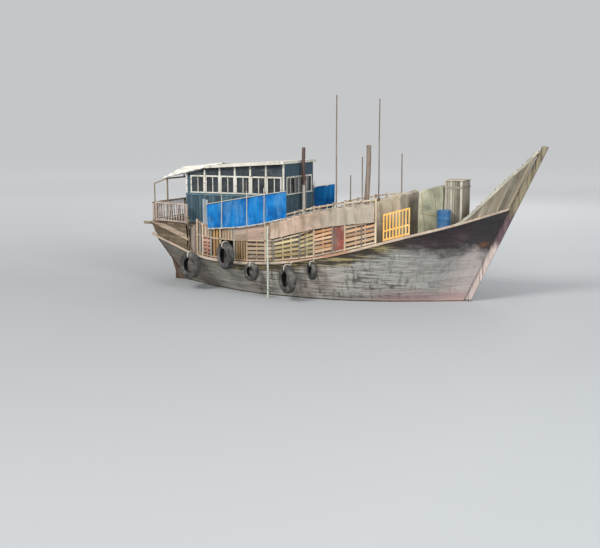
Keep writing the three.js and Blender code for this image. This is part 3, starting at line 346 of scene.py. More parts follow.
def bow_paint_and_shade(finish, strake, ragged, streaks, scores):
    """The dark band that widens towards the stem, dark paint and painted shade under the flaring bow, its
    rusty patch, and painted shade under the rail along the waist aft of it.
    """
    x, z = finish.x, finish.z
    row = strake + ragged * 2.2 - 1.1
    stemward = x - z * STEM_RAKE
    band = (row - (x - BAND_START) * BAND_GROWTH + stemward.above(4.4, 0.8) * 0.35).below(0.0, 1.1)
    finish.over(stemward.above(4.55, 0.8) * (0.22 + streaks * 0.55), "c3b2ae")
    band_mottle = finish.noise((0.8, 0.8, 2.6), 4, 0.65)
    # the band: dark paint, with painted shade where the bow flares under the rail
    paint = finish.ramp(band_mottle, (0.34, "211a1d"), (0.52, "31262b"), (0.68, "4b3d42"))
    finish.over(band * 0.95, finish.blend(stemward.above(4.5, 0.5) * 0.6, paint, "222827"))
    rust = (stemward - RUST_SPOT[0]).size().below(0.10, 0.25) * (z - RUST_SPOT[1]).size().below(0.05, 0.22)
    finish.over(rust * (0.45 + streaks * 0.6), "86582f")
    # painted shade under the rail along the waist, olive in streaks
    waist = row.below(0.95, 0.9) * x.below(3.4, 1.6) * x.above(-3.2, 1.5)
    finish.over(waist * 0.88, finish.blend(scores.above(0.47, 0.1), "978a5a", "3a3329"))


def water_stains_shade_and_glint(finish, ragged):
    """A dark strip at the water, of wet planks and painted shade, a pale line of painted reflection over it,
    a blush forward and slime aft.
    """
    x, z = finish.x, finish.z
    # a dark strip along the water: wet planks, and painted shade where the water meets the hull
    finish.over((z + ragged * 0.08).below(0.085, 0.03) * 0.85, "35342e")
    # painted reflection: a pale line just over the dark strip at the water
    glint_level = z + ragged * 0.05
    finish.over(glint_level.above(0.075, 0.02) * glint_level.below(0.135, 0.02) * 0.55, "d3c3bb")
    splash = z + ragged * 0.5
    finish.over(splash.below(0.62, 0.40) * x.above(2.6, 2.0) * 0.45, "a87c78")
    finish.over(splash.below(0.42, 0.36) * x.below(2.6, 2.0) * 0.30, "67685a")
    finish.over(z.below(-0.02, 0.03) * 0.85, "6b4a3c")


def hull_finish():
    """Bleached, pinkish-grey planking, dark under the rail forward in paint and painted shade, darker aft in
    painted shade, stained along the water, with painted shade and a painted reflection there.
    """
    finish = Finish("hull_planks")
    strake = finish.own("strake", "Fac")
    seam, plank = plank_pattern(finish, strake * (HULL_STRAKES / HULL_ROWS), finish.x, 1.0, BUTT_SPACING)
    fibres, streaks = finish.grain(0)
    runs, scores = bleached_planks(finish, plank, fibres, streaks)
    ragged = finish.noise((1.5, 1.5, 2.5), 4)
    bow_paint_and_shade(finish, strake, ragged, streaks, scores)
    # painted shade: the planking darker towards the stern, under the quarter
    finish.over(finish.x.below(-3.9, 3.0) * 0.55, "5a5449")
    water_stains_shade_and_glint(finish, ragged)
    finish.over(seam * 0.62, "39332f")
    finish.bump(1 - seam, 0.006)
    finish.bump(fibres, 0.002)
    finish.bump(runs, 0.003, 0.5)
    return finish.done(0.82, gloss=0.22)


STEM_DARK, STEM_PALE = 1.95, 3.00       # heights where the bow's dark paint and painted shade start, and where bare wood does again


def stem_finish():
    """The stem: bleached pinkish timber below, dark where the bow's paint and painted shade run over it, pale
    at its head.
    """
    finish = Finish("stem_wood")
    fibres, streaks = finish.grain(2)
    tone = fibres * 0.45 + streaks * 0.55
    low, dark, high = [finish.ramp(tone, *zip((0.30, 0.50, 0.72), codes)) for codes in (
        ("968680", "c6b5ae", "ded3cb"), ("40323a", "66535a", "8e7d78"), ("564f3f", "827963", "a89f87"))]
    edge = finish.z + (finish.noise(3.0) * 0.5 - 0.25)
    # the dark middle: the bow's paint, and painted shade under the flare
    finish.colour = finish.blend(edge.above(STEM_DARK, 0.35), low, dark)
    finish.over(edge.above(STEM_PALE, 0.40), high)
    cracks = finish.noise((14, 14, 0.7)).above(0.62, 0.06)
    finish.over(cracks * 0.7, "3c332f")
    # dark at the water: wet timber and painted shade, as on the hull
    finish.over(finish.z.below(0.07, 0.04) * 0.7, "4a4038")
    finish.bump(fibres, 0.002)
    finish.bump(1 - cracks, 0.004)
    return finish.done(0.85)


POST_PAINT_TOP = 3.80


def post_finish():
    """The post before the wheelhouse: painted white to shoulder height, bare dark wood over it."""
    finish = Finish("post_wood")
    fibres, streaks = finish.grain(2)
    bare = finish.ramp(fibres * 0.5 + streaks * 0.5, (0.30, "3f3130"), (0.50, "5d4a46"), (0.72, "7d6a62"))
    paint = finish.ramp(streaks, (0.30, "a89e92"), (0.50, "d5cdc2"), (0.72, "ece6dc"))
    edge = finish.z + (finish.noise((8, 8, 2)) * 0.4 - 0.2)
    finish.colour = finish.blend(edge.above(POST_PAINT_TOP, 0.05), paint, bare)
    finish.bump(fibres, 0.0015)
    return finish.done()


def planked(name, dark, mid, light, width, length, across=1, along=0, stain="4f463c", wale=None):
    """Boards side by side on a CAD piece: across and along name the axes.

    wale is (x, z, fall along x, half its breadth, colour) for a strip of paler wood."""
    finish = Finish(name)
    axes = (finish.x, finish.y, finish.z)
    seam, plank = plank_pattern(finish, axes[across], axes[along], width, length)
    fibres, streaks = finish.grain(along)
    tone = fibres * 0.35 + streaks * 0.30 + plank * 0.35
    finish.colour = finish.ramp(tone, (0.26, dark), (0.50, mid), (0.75, light))
    finish.over(finish.noise(1.2, 4).above(0.56, 0.2) * 0.4, stain)
    if wale:
        x, z, fall, half, colour = wale
        strip = (finish.z - z + (finish.x - x) * fall).size()
        finish.over(strip.below(half, 0.02) * 0.75, colour)
    finish.over(seam * 0.8, "2c2722")
    finish.bump(1 - seam, 0.004)
    finish.bump(fibres, 0.0015)
    return finish.done(0.85)


def painted(name, colour, worn, bare, rough=0.55, amount=0.5, grained=False):
    """Old paint over wood or metal: faded patches, chips down to what is under it, and grime."""
    finish = Finish(name)
    chips = finish.noise((4.8, 14.4, 14.4), 5, 0.7, vector=finish.own("grain") if grained else None)
    finish.colour = finish.blend(finish.noise(2.3, 4).above(0.50, 0.3) * 0.75, colour, worn)
    bared = chips.above(0.66 - 0.1 * amount, 0.04)
    finish.over(bared, bare)
    finish.over(finish.noise((5.0, 5.0, 0.9), 4, 0.65).above(0.60, 0.2) * 0.35, "5b5348")
    finish.bump(1 - bared, 0.0012)
    finish.bump(chips, 0.0008, 0.5)
    return finish.done(rough, gloss=0.35)


THREADS = 420                   # in a metre of cloth


def cloth(name, light, mid, dark, sheen=0.2, stain="6d6354", stains=0.4, hem=None, fore=None):
    """Woven cloth on the piece's own map, in metres: threads, soft dirt and faded folds.

    hem is (distance down the cloth, colour). fore is (x, run of the change, colour) where cloth is pieced."""
    finish = Finish(name)
    u, v, _ = finish.axes(finish.node("ShaderNodeTexCoord", output="UV"))
    finish.colour = finish.ramp(finish.noise(1.5, 4), (0.32, dark), (0.5, mid), (0.68, light))
    if fore:
        x, run, colour = fore
        finish.over(finish.x.above(x, run) * 0.85, colour)
    finish.over(finish.noise((3.12, 3.12, 1.04), 4, 0.68).above(0.56, 0.2) * stains, stain)
    if hem:
        finish.over(v.above(hem[0], 0.004), hem[1])
    warp, weft = [((axis * THREADS) % 1.0 - 0.5).size() for axis in (u, v)]
    finish.bump(warp + weft, 0.0006, 0.6)
    finish.bump(finish.noise(9.0), 0.006, 0.6)
    return finish.done(0.9, sheen=sheen, gloss=0.15)


def rubber():
    """Old tyre rubber, greyed and muddy."""
    finish = Finish("tyre_rubber")
    dust = finish.noise(4.0, 5, 0.65)
    finish.colour = finish.ramp(dust, (0.35, "2e2e2f"), (0.52, "504e4c"), (0.72, "7f7b75"))
    finish.bump(finish.noise(60.0), 0.001)
    return finish.done(0.88, gloss=0.25)


def metal(name, colour, tarnish, rust, rough):
    finish = Finish(name)
    dull = finish.noise(5.0, 5, 0.65)
    finish.colour = finish.blend(dull.above(0.5, 0.3) * 0.8, colour, tarnish)
    finish.over(finish.noise(16.0, 4, 0.7).above(0.60, 0.1) * 0.7, rust)
    finish.bump(dull, 0.001)
    return finish.done(rough, 0.85, gloss=0.5)


def rope_finish(name, light, dark):
    """Laid rope: strands that wind round it, by the piece's own map."""
    finish = Finish(name)
    u, v, _ = finish.axes(finish.node("ShaderNodeTexCoord", output="UV"))
    strands = ((u * 60.0 + v * 3.0) % 1.0 - 0.5).size() * 2.0
    # painted shade: darker in the grooves between the strands
    finish.colour = finish.ramp(strands, (0.1, light), (0.95, dark))
    finish.over(finish.noise(5.0, 3, 0.55).above(0.55, 0.3) * 0.4, dark)
    finish.bump(1 - strands, 0.002)
    return finish.done(0.9)


def dark_glass():
    """Window glass, dark in itself as painted shade of the unlit cabin behind it, with salt on it."""
    finish = Finish("window_glass")
    salt = finish.noise(3.0, 4)
    finish.colour = finish.ramp(salt, (0.35, "15181b"), (0.7, "3b4247"))
    return finish.done(finish.ramp(salt, (0.3, 0.10), (0.8, 0.35)), gloss=0.6)


FLOOR_LIT = ((-4, -16, 0.12), (33, -20, 0))     # x, y where a lamp lights it most, and the ramp's start
FLOOR_FAR = 100                 # from there to where the floor is white


def floor_finish():
    """A pale floor, whiter away from the lamps, so that it looks as bright as the air behind it."""
    finish = Finish("studio_floor")
    shares = []
    for x, y, start in FLOOR_LIT:
        east, north = finish.x - x, finish.y - y
        shares.append((east * east + north * north).root() / FLOOR_FAR + start)
    finish.colour = finish.ramp(shares[0].smaller(shares[1]), (0.0, "909395"), (0.12, "a3a6a8"),
                                (0.27, "adb0b2"), (0.44, "d0d3d4"), (0.67, "eeefef"), (1.0, "ffffff"))
    return finish.done(1.0, gloss=0.0)


# Making pieces

def close():
    """Closes the mesh that is open for editing."""
    if bpy.context.object is not None and bpy.context.object.mode != "OBJECT":
        bpy.ops.object.mode_set(mode="OBJECT")


def clear():
    """Nothing is selected and no mesh is open."""
    close()
    bpy.ops.object.select_all(action="DESELECT")


def pick(piece):
    clear()
    piece.select_set(True)
    bpy.context.view_layer.objects.active = piece


def open_all(piece):
    """Opens the piece for editing with all of it selected."""
    pick(piece)
    bpy.ops.object.mode_set(mode="EDIT")
    bpy.ops.mesh.select_all(action="SELECT")


def open_faces(piece, test):
    """Opens the piece for editing with just those faces selected that pass the test."""
    chosen = [bool(test(face)) for face in piece.data.polygons]
    pick(piece)
    bpy.ops.object.mode_set(mode="EDIT")
    bpy.ops.mesh.select_mode(type="FACE")
    bpy.ops.mesh.select_all(action="DESELECT")
    bpy.ops.object.mode_set(mode="OBJECT")
    piece.data.polygons.foreach_set("select", chosen)
    bpy.ops.object.mode_set(mode="EDIT")


def inset_faces(piece, test, **sizes):
    open_faces(piece, test)
    bpy.ops.mesh.inset(**sizes)
    close()


def empty_piece(name):
    """A piece with nothing in it yet, open for editing."""
    clear()
    bpy.ops.object.add(type="MESH")
    piece = bpy.context.object
    piece.name = piece.data.name = name
    bpy.ops.object.mode_set(mode="EDIT")
    return piece


@contextmanager
def loose_mesh(piece):
    """The piece's mesh as a BMesh, which is written back."""
    mesh = bmesh.new()
    mesh.from_mesh(piece.data)
    yield mesh
    mesh.to_mesh(piece.data)
    mesh.free()


def apply_modifier(piece, kind, **settings):
    pick(piece)
    modifier = piece.modifiers.new(kind.lower(), kind)
    for key, value in settings.items():
        setattr(modifier, key, value)
    bpy.ops.object.modifier_apply(modifier=modifier.name)


def bevel(piece, width, segments=1, angle=30):
    apply_modifier(piece, "BEVEL", width=width, segments=segments, limit_method="ANGLE",
                   angle_limit=math.radians(angle), use_clamp_overlap=True)


def subdivide(piece, levels):
    apply_modifier(piece, "SUBSURF", levels=levels, render_levels=levels)


def smooth(piece, angle=35):
    pick(piece)
    bpy.ops.object.shade_smooth_by_angle(angle=math.radians(angle))


def dress(piece, material):
    piece.data.materials.clear()
    piece.data.materials.append(material)


def fit_out(piece, material, slot, *stands_for, body=BOAT):
    """The piece's finish, what it rides on, and the CAD nodes that it stands for."""
    close()
    dress(piece, material)
    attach(piece, body)
    if stands_for:
        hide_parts(*stands_for)


def placed_copy(shape, name, place):
    """A copy of a shape, its mesh moved by a matrix."""
    copy = linked(name, shape.data.copy())
    copy.data.transform(place)
    return copy


def join(pieces, name):
    clear()
    for piece in pieces:
        piece.select_set(True)
    bpy.context.view_layer.objects.active = pieces[0]
    bpy.ops.object.join()
    whole = bpy.context.object
    whole.name = whole.data.name = name
    return whole


def frame_of(start, end, way):
    """Axes for a board from start to end: its length along x, its width as near the way as it can be."""
    along = (end - start).normalized()
    side = way.cross(along).normalized()
    turn = Matrix((along, side, along.cross(side))).transposed()
    return Matrix.Translation((start + end) / 2) @ turn.to_4x4()


def boards(name, rows, edge=0.003):
    """One piece of straight boards. A row is (start, end, width, thickness, way the width points, tint)."""
    rows = [(Vector(start), Vector(end), *rest) for start, end, *rest in rows]
    piece = empty_piece(name)
    for start, end, width, thick, way, _ in rows:
        places = frame_of(start, end, way)
        bpy.ops.mesh.primitive_cube_add(size=1, location=places.translation, rotation=places.to_euler(),
                                        scale=((end - start).length, thick, width))
    close()
    piece.data.attributes.new("grain", "FLOAT_VECTOR", "POINT")
    piece.data.attributes.new("tint", "FLOAT_COLOR", "POINT")
    grain, tints = piece.data.attributes["grain"], piece.data.attributes["tint"]
    corners = 8
    for i, (start, end, _, _, way, tint) in enumerate(rows):
        inside = frame_of(start, end, way).inverted()
        shift = Vector((i * 2.3 % 7, i * 1.7 % 5, i * 3.1 % 6))
        for k in range(i * corners, (i + 1) * corners):
            grain.data[k].vector = inside @ piece.data.vertices[k].co + shift
            tints.data[k].color = linear(tint)
    bevel(piece, edge)
    return piece


def off_line(point, start, end):
    along = (end - start).normalized()
    run = max(0.0, min((end - start).length, (point - start).dot(along)))
    return (point - start - along * run).length


POLE_RINGS = 9


def round_poles(name, rows, sides=12):
    """One piece of round poles that taper and wander. A row is (start, end, foot radius, top radius)."""
    rows = [(Vector(start), Vector(end), *radii) for start, end, *radii in rows]
    piece = empty_piece(name)
    for start, end, foot, _ in rows:
        places = frame_of(start, end, Vector((0, 1, 0.01))) @ Matrix.Rotation(math.pi / 2, 4, "Y")
        bpy.ops.mesh.primitive_cylinder_add(vertices=sides, radius=foot, depth=(end - start).length,
                                            location=places.translation, rotation=places.to_euler())
    close()
    with loose_mesh(piece) as mesh:
        long_edges = [edge for edge in mesh.edges
                      if len(edge.link_faces) == 2 and all(len(face.verts) == 4 for face in edge.link_faces)]
        bmesh.ops.subdivide_edges(mesh, edges=long_edges, cuts=POLE_RINGS, use_grid_fill=True)
    grain = piece.data.attributes.new("grain", "FLOAT_VECTOR", "POINT")
    for i, vertex in enumerate(piece.data.vertices):
        n = min(range(len(rows)), key=lambda k: off_line(vertex.co, rows[k][0], rows[k][1]) / rows[k][2])
        start, end, foot, top = rows[n]
        along = (end - start).normalized()
        run = (vertex.co - start).dot(along)
        centre = start + along * run
        share = run / (end - start).length
        wander = Vector((math.sin(run * 1.9 + n), math.cos(run * 1.4 + n * 2), 0)) * foot * 0.22
        taper = 1 + (top / foot - 1) * share
        vertex.co = centre + (vertex.co - centre) * taper + wander * math.sin(share * math.pi)
        beside = vertex.co - (start + end) / 2
        grain.data[i].vector = Vector((run + n * 1.7, beside.x, beside.y))
    smooth(piece, 50)
    return piece


def tube(name, lines, radius):
    """Ropes as one piece, each along its own smooth line of points."""
    curve = bpy.data.curves.new(name, "CURVE")
    curve.dimensions = "3D"
    curve.bevel_depth = radius
    curve.bevel_resolution = 3
    curve.resolution_u = 6
    curve.use_fill_caps = True
    for points in lines:
        spline = curve.splines.new("NURBS")
        spline.points.add(len(points) - 1)
        spline.use_endpoint_u = True
        spline.order_u = min(4, len(points))
        for place, point in zip(spline.points, points):
            place.co = (*point, 1)
    pick(linked(name, curve))
    bpy.ops.object.convert(target="MESH")
    return bpy.context.object


def ring_of(centre, axis, radius, angle):
    """The point at an angle of a circle that stands square to an axis."""
    first = axis.orthogonal().normalized()
    return centre + (first * math.cos(angle) + axis.cross(first) * math.sin(angle)) * radius


def coil(centre, axis, radius, height, turns, per_turn=8):
    """Points of a lashing that winds round an axis."""
    axis = axis.normalized()
    count = turns * per_turn
    return [ring_of(centre + axis * height * (k / count - 0.5), axis, radius, 2 * math.pi * k / per_turn)
            for k in range(count + 1)]


def spun(name, profile, axis, steps):
    """A line of points spun round an axis, open for editing."""
    piece = empty_piece(name)
    close()
    with loose_mesh(piece) as mesh:
        line = [mesh.verts.new(point) for point in profile]
        for a, b in zip(line, line[1:]):
            mesh.edges.new((a, b))
    open_all(piece)
    bpy.ops.mesh.spin(steps=steps, angle=2 * math.pi, center=(0, 0, 0), axis=axis)
    bpy.ops.mesh.select_all(action="SELECT")
    bpy.ops.mesh.remove_doubles(threshold=1e-4)
    bpy.ops.mesh.normals_make_consistent(inside=False)
    return piece


def copy_of(node, name):
    """A copy of a CAD node's mesh, its loose triangles merged."""
    piece = linked(name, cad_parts[node].data.copy())
    piece.data.name = name
    pick(piece)
    if piece.data.has_custom_normals:
        bpy.ops.mesh.customdata_custom_splitnormals_clear()
    open_all(piece)
    bpy.ops.mesh.remove_doubles(threshold=2e-5)
    bpy.ops.mesh.tris_convert_to_quads(face_threshold=math.radians(60), shape_threshold=math.radians(100))
    close()
    return piece


def flat_copy(node, name):
    """A copy of a CAD node's mesh, its flat faces made whole."""
    piece = copy_of(node, name)
    open_all(piece)
    bpy.ops.mesh.dissolve_limited(angle_limit=math.radians(1))
    close()
    return piece


def worn(node, width, material, name=None):
    """A CAD node with its edges worn round, as a piece of timber."""
    piece = flat_copy(node, name or f"worn_{node}")
    bevel(piece, width, 2)
    smooth(piece)
    fit_out(piece, material, "timber", node)


FAIR_ANGLE = 40                 # edges sharper than this stay sharp on a fair curve


def make_fair(piece):
    """Makes a piece's long curves fair, and keeps its sharp edges."""
    with loose_mesh(piece) as mesh:
        layer = mesh.edges.layers.float.get("crease_edge") or mesh.edges.layers.float.new("crease_edge")
        for edge in mesh.edges:
            if len(edge.link_faces) != 2 or edge.calc_face_angle() > math.radians(FAIR_ANGLE):
                edge[layer] = 1.0
    subdivide(piece, 2)


def tree_of(piece):
    data = piece.data
    return BVHTree.FromPolygons([v.co.copy() for v in data.vertices], [p.vertices[:] for p in data.polygons])


# The rail's line, which the screens, posts and ropes follow

RAIL_TREE = tree_of(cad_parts["cap_rail_starboard"])
RAIL_ENDS = (-6.25, 5.85)
RAIL_HEIGHTS = (0.9, 4.2)       # the rail's top lies between them
SCREEN_IN = 0.095               # from the rail's outer edge to the screens' line
SCREEN_CLEAR = 0.014            # from the rail's top to a screen's foot


def rail_point(x):
    """(outer y to starboard, top z) of the cap rail at x."""
    ray = lambda z: RAIL_TREE.ray_cast(Vector((x, -4, z)), TO_PORT)[0]
    step = 0.02
    z = RAIL_HEIGHTS[1]
    while z > RAIL_HEIGHTS[0] and ray(z) is None:
        z -= step
    top = z + step
    for _ in range(7):
        middle = (z + top) / 2
        if ray(middle) is None:
            top = middle
        else:
            z = middle
    return ray(z).y, z


RAIL_XS = np.linspace(*RAIL_ENDS, 90)
RAIL_YS, RAIL_ZS = np.array([rail_point(x) for x in RAIL_XS]).T


def line_out(x):
    """How far the screens' line is from the centreline at x."""
    return -np.interp(x, RAIL_XS, RAIL_YS) - SCREEN_IN


def spot(side, x, up=0.0, out=0.0):
    """A point on the screens' line at x: up from the screens' foot, out from the line."""
    return Vector((x, side * (line_out(x) + out), np.interp(x, RAIL_XS, RAIL_ZS) + SCREEN_CLEAR + up))


def lengthwise(side, x):
    """The rail's direction at x."""
    return (spot(side, x + 0.05) - spot(side, x - 0.05)).normalized()


# Hull

def girth_rows(piece, side):
    """Gives each point of the planking its count of rows below the sheer, as the strake attribute."""
    with loose_mesh(piece) as mesh:
        layer = mesh.verts.layers.float.new("strake")
        rims = {e for e in mesh.edges for f in e.link_faces if f.normal.z > 0.6 and abs(f.normal.y) < 0.3}
        for facing in (side, -side):
            skin = {f for f in mesh.faces if f.normal.y * facing > 0.05
                    and (f.normal.z < 0.6 if facing == side else abs(f.normal.z) < 0.99)}
            level = {v for e in rims for v in e.verts if any(f in skin for f in e.link_faces)}
            seen = set(level)
            row = 0
            while level:
                for vertex in level:
                    vertex[layer] = row
                level = {e.other_vert(v) for v in level for e in v.link_edges
                         if any(f in skin for f in e.link_faces)} - seen
                seen |= level
                row += 1


PLANK_GROOVE = 0.005            # half width and depth of the seam between two planks


def planking(side_name, material):
    """The hull's skin as separate planks, each raised between its seams."""
    side = SIDES[side_name]
    node = f"hull_planking_{side_name}"
    piece = copy_of(node, f"planking_{side_name}")
    girth_rows(piece, side)
    make_fair(piece)
    for odd in (0, 1):
        rows = piece.data.attributes["strake"].data

        def outside(face):
            strake = sum(rows[v].value for v in face.vertices) / len(face.vertices)
            out = face.normal.y * side > 0.02 and abs(face.normal.x) < 0.93
            return out and int(strake * HULL_STRAKES / HULL_ROWS) % 2 == odd

        inset_faces(piece, outside, thickness=PLANK_GROOVE, depth=PLANK_GROOVE, use_even_offset=True)
    smooth(piece, 32)
    fit_out(piece, material, "hull_planks", node)


def cap_rail(side_name, material):
    node = f"cap_rail_{side_name}"
    piece = copy_of(node, f"rail_{side_name}")
    make_fair(piece)
    bevel(piece, 0.012, 2, FAIR_ANGLE)
    smooth(piece, FAIR_ANGLE)
    fit_out(piece, material, "rail_wood", node)


# Washboards at the bow

WASHBOARD_PLANKS = 18
WASHBOARD_THICK = 0.045
WASHBOARD_RIBS = (7, 10, 13, 16)        # the planks that ribs stand behind
WORN_TOE, WORN_RISE = 0.35, 0.11        # the share left of the first board, and how much more of each next
WASHBOARD_TINTS = ("bbae93", "9b8f77", "d2c5a9", "8a7e68", "b7a68a", "dccfb4")


def raked_lines(node):
    """The outer face of a washboard as (foot, top) points, from aft forward."""
    piece = copy_of(node, "washboard_lines")
    by_breadth = {}
    for vertex in piece.data.vertices:
        by_breadth.setdefault(round(abs(vertex.co.y), 4), []).append(vertex.co.copy())
    bpy.data.objects.remove(piece)
    lines = []
    for y in sorted(by_breadth, reverse=True):
        points = sorted(by_breadth[y], key=lambda p: p.z)
        outer = any(abs(y - WASHBOARD_THICK - other) < 2e-4 for other in by_breadth)
        if outer and len(points) >= 2 and points[-1].z - points[0].z > 0.03:
            lines.append((points[0], points[-1]))
    return lines


def washboard(side_name, material):
    """Raked planks whose heads step up towards the stem, with a pale capping outside them and ribs inside."""
    side = SIDES[side_name]
    node = f"washboard_{side_name}"
    lines = raked_lines(node)
    spans = np.cumsum([0] + [(b[0] - a[0]).length for a, b in zip(lines, lines[1:])])

    def line_at(k):
        where = k / WASHBOARD_PLANKS * spans[-1]
        i = min(len(lines) - 2, int(np.searchsorted(spans, where, side="right")) - 1)
        part = (where - spans[i]) / (spans[i + 1] - spans[i])
        return [a.lerp(b, part) for a, b in zip(lines[i], lines[i + 1])]

    def worn_head(k, foot, top):
        return foot.lerp(top, min(1.0, WORN_TOE + k * WORN_RISE))

    dice = random.Random(11)
    rows, heads = [], []
    for k in range(WASHBOARD_PLANKS):
        (foot_a, top_a), (foot_b, top_b) = line_at(k), line_at(k + 1)
        across = foot_b - foot_a
        foot = (foot_a + foot_b) / 2
        top = worn_head(k, foot, (top_a + top_b) / 2)
        inward = Vector((0, -side * (0.022 + 0.004 * (k % 2)), 0))
        top = top + (top - foot).normalized() * dice.uniform(-0.05, 0.0)
        rows.append((foot + inward, top + inward, across.length * 0.97, 0.030, across.normalized(),
                     dice.choice(WASHBOARD_TINTS)))
        heads.append(worn_head(k - 0.5, foot_a, top_a))
    heads.append(line_at(WASHBOARD_PLANKS)[1])
    drop = Vector((0, side * 0.006, -0.055))
    caps = [(a + drop, b + drop, 0.085, 0.026, UP, "d8d0ba") for a, b in zip(heads, heads[1:])]
    ribs = []
    for foot, top in map(line_at, WASHBOARD_RIBS):
        inward = Vector((0, -side * 0.065, 0))
        ribs.append((foot + inward, top + inward * 1.1 - UP * 0.06, 0.07, 0.05, AHEAD, "9a9078"))
    fit_out(boards(f"washboards_{side_name}", rows, 0.005), material, "washboard_wood", node)
    fit_out(boards(f"washboard_cap_{side_name}", caps, 0.005), material, "washboard_wood")
    fit_out(boards(f"washboard_ribs_{side_name}", ribs, 0.006), material, "washboard_wood")


# Side screens

GREY = ("9b9488", "aaa295", "8b857a")
SALMON = ("d08c78", "c27c68", "dba08c")
OCHRE = ("c79a55", "b98a48", "d6ab68")
PINK = ("cdae99", "d9bda8", "bf9f8a")
TAN = ("d3b594", "c4a27e", "e0c9a9", "b5977a")
OLIVE = ("c9af74", "b8a066", "dac78f", "a9955e")
ORANGE = ("e0aa78", "cf935d", "ecbf92", "d8b08c")
# dark browns of the boards behind the slats: painted shade of the boat's inside
SHADE_BOARD_TINTS = ("5b4636", "4b392c", "66513d", "54443a")
RED = ("a24433", "8d372a", "b1513d")
BAYS = (                        # from, to, fill below and its colours, fill above and its colours
    (-4.16, -3.90, "boards", GREY, "boards", GREY),
    (-3.90, -3.52, "slats", SALMON, "boards", PINK),
    (-3.52, -3.11, "boards", OCHRE, "boards", OCHRE),
    (-3.11, -2.51, "open", OCHRE, "boards", TAN),
    (-2.51, -1.99, "balusters", OCHRE, "board", PINK),
    (-1.99, -1.24, "slats", TAN, "board", PINK),
    (-1.24, -0.92, "slats", TAN, "board", TAN),
    (-0.92, 0.07, "slats", OLIVE, "open", OLIVE),
    (0.07, 0.60, "slats", OLIVE, "open", OLIVE),
    (0.60, 1.29, "slats", ORANGE, "open", ORANGE),
    (1.29, 1.72, "board", RED, "open", RED),
    (1.72, 2.77, "slats", ORANGE, "open", TAN),
)
BAY_EDGES = [BAYS[0][0]] + [bay[1] for bay in BAYS]
SCREEN_XS = (-4.16, -3.90, -3.11, -1.99, -0.92, 0.07, 0.60, 1.29, 1.72, 2.77)
SCREEN_TOPS = (1.200, 1.110, 1.240, 1.370, 1.520, 1.640, 1.670, 1.640, 1.590, 1.430)
SCREEN_MIDS = (0.700, 0.700, 0.720, 0.740, 0.720, 0.840, 0.950, 0.980, 1.080, 1.020)
FOOT_RAIL = 0.040
SLAT_SPACING = 0.150
BRACE_SPACING = 0.33            # uprights behind the slats
UPRIGHTS = {                    # width, spacing, thickness
    "boards": (0.100, 0.112, 0.020),
    "balusters": (0.036, 0.088, 0.030),
}
PANEL_BOARDS = 3                # boards that fill a bay lengthwise
SHADE_BOARDS_IN = 0.034               # from the screens' line to the dark boards behind the slats, which are painted shade
SHADE_BOARD_ROWS = 5
POLES = ((-3.11, 3.25), (-1.99, 4.00), (-1.24, 3.65), (0.28, 4.05), (1.40, 6.87), (2.30, 4.88))     # x, top
TALL_BOARD = (-3.845, -3.775, -3.705)   # three strips of it
TALL_BOARD_FOOT, TALL_BOARD_TOP = 1.09, 3.30


def screen_foot(x):
    return FOOT_RAIL


def screen_top(x):
    return float(np.interp(x, SCREEN_XS, SCREEN_TOPS))


def screen_mid(x):
    return float(np.interp(x, SCREEN_XS, SCREEN_MIDS))


def along_screen(side, a, b, ups, out=0.0):
    return spot(side, a, ups[0], out), spot(side, b, ups[1], out)


def mean_height(a, b, low, high):
    return (high(a) - low(a) + high(b) - low(b)) / 2


def slat_rows(side, dice, a, b, low, high, tints):
    """Slats along a bay, with a few uprights behind them."""
    rows = []
    count = int(mean_height(a, b, low, high) / SLAT_SPACING)
    for k in range(1, count + 1):
        share = k / (count + 1)
        ups = [between(low(x), high(x), share) + dice.uniform(-0.012, 0.012) for x in (a, b)]
        start, end = along_screen(side, a - 0.02, b + 0.02, ups, 0.004 + dice.uniform(-0.004, 0.006))
        rows.append((start, end, dice.uniform(0.078, 0.100), 0.020, UP, dice.choice(tints)))
    braces = max(2, int((b - a) / BRACE_SPACING))
    for k in range(1, braces):
        x = a + (b - a) * k / braces + dice.uniform(-0.02, 0.02)
        start, end = spot(side, x, low(x) + 0.02, -0.017), spot(side, x, high(x) - 0.02, -0.017)
        rows.append((start, end, 0.05, 0.018, lengthwise(side, x), dice.choice(tints)))
    return rows


def upright_rows(side, dice, kind, a, b, low, high, tints):
    """Upright boards or balusters across a bay."""
    wide, spacing, thick = UPRIGHTS[kind]
    rows = []
    count = int((b - a) / spacing)
    for k in range(1, count):
        x = a + (b - a) * k / count + dice.uniform(-0.004, 0.004)
        start = spot(side, x, low(x) + 0.01)
        end = spot(side, x, high(x) + dice.uniform(-0.012, 0.012))
        rows.append((start, end, wide * dice.uniform(0.94, 1.05), thick, lengthwise(side, x),
                     dice.choice(tints)))
    return rows


def panel_rows(side, dice, a, b, low, high, tints):
    """Boards along a bay that fill its height."""
    wide = mean_height(a, b, low, high) / PANEL_BOARDS - 0.006
    rows = []
    for k in range(PANEL_BOARDS):
        ups = [between(low(x), high(x), (k + 0.5) / PANEL_BOARDS) for x in (a, b)]
        start, end = along_screen(side, a, b, ups, dice.uniform(-0.003, 0.003))
        rows.append((start, end, wide, 0.022, UP, dice.choice(tints)))
    return rows


def shade_board_rows(side, dice, a, b, low, high):
    """Dark boards along behind the slats: painted shade, standing in for the shaded inside of the boat."""
    wide = mean_height(a, b, low, high) / SHADE_BOARD_ROWS - 0.004
    rows = []
    for k in range(SHADE_BOARD_ROWS):
        ups = [between(low(x), high(x), (k + 0.5) / SHADE_BOARD_ROWS) for x in (a, b)]
        rows.append((*along_screen(side, a, b, ups, -SHADE_BOARDS_IN), wide, 0.012, UP, dice.choice(SHADE_BOARD_TINTS)))
    return rows


def fill_rows(side, dice, kind, a, b, low, high, tints):
    """The boards that fill one bay between the heights that low and high give."""
    if kind == "slats":
        return slat_rows(side, dice, a, b, low, high, tints)
    if kind == "board":
        return panel_rows(side, dice, a, b, low, high, tints)
    if kind in UPRIGHTS:
        return upright_rows(side, dice, kind, a, b, low, high, tints)
    return []


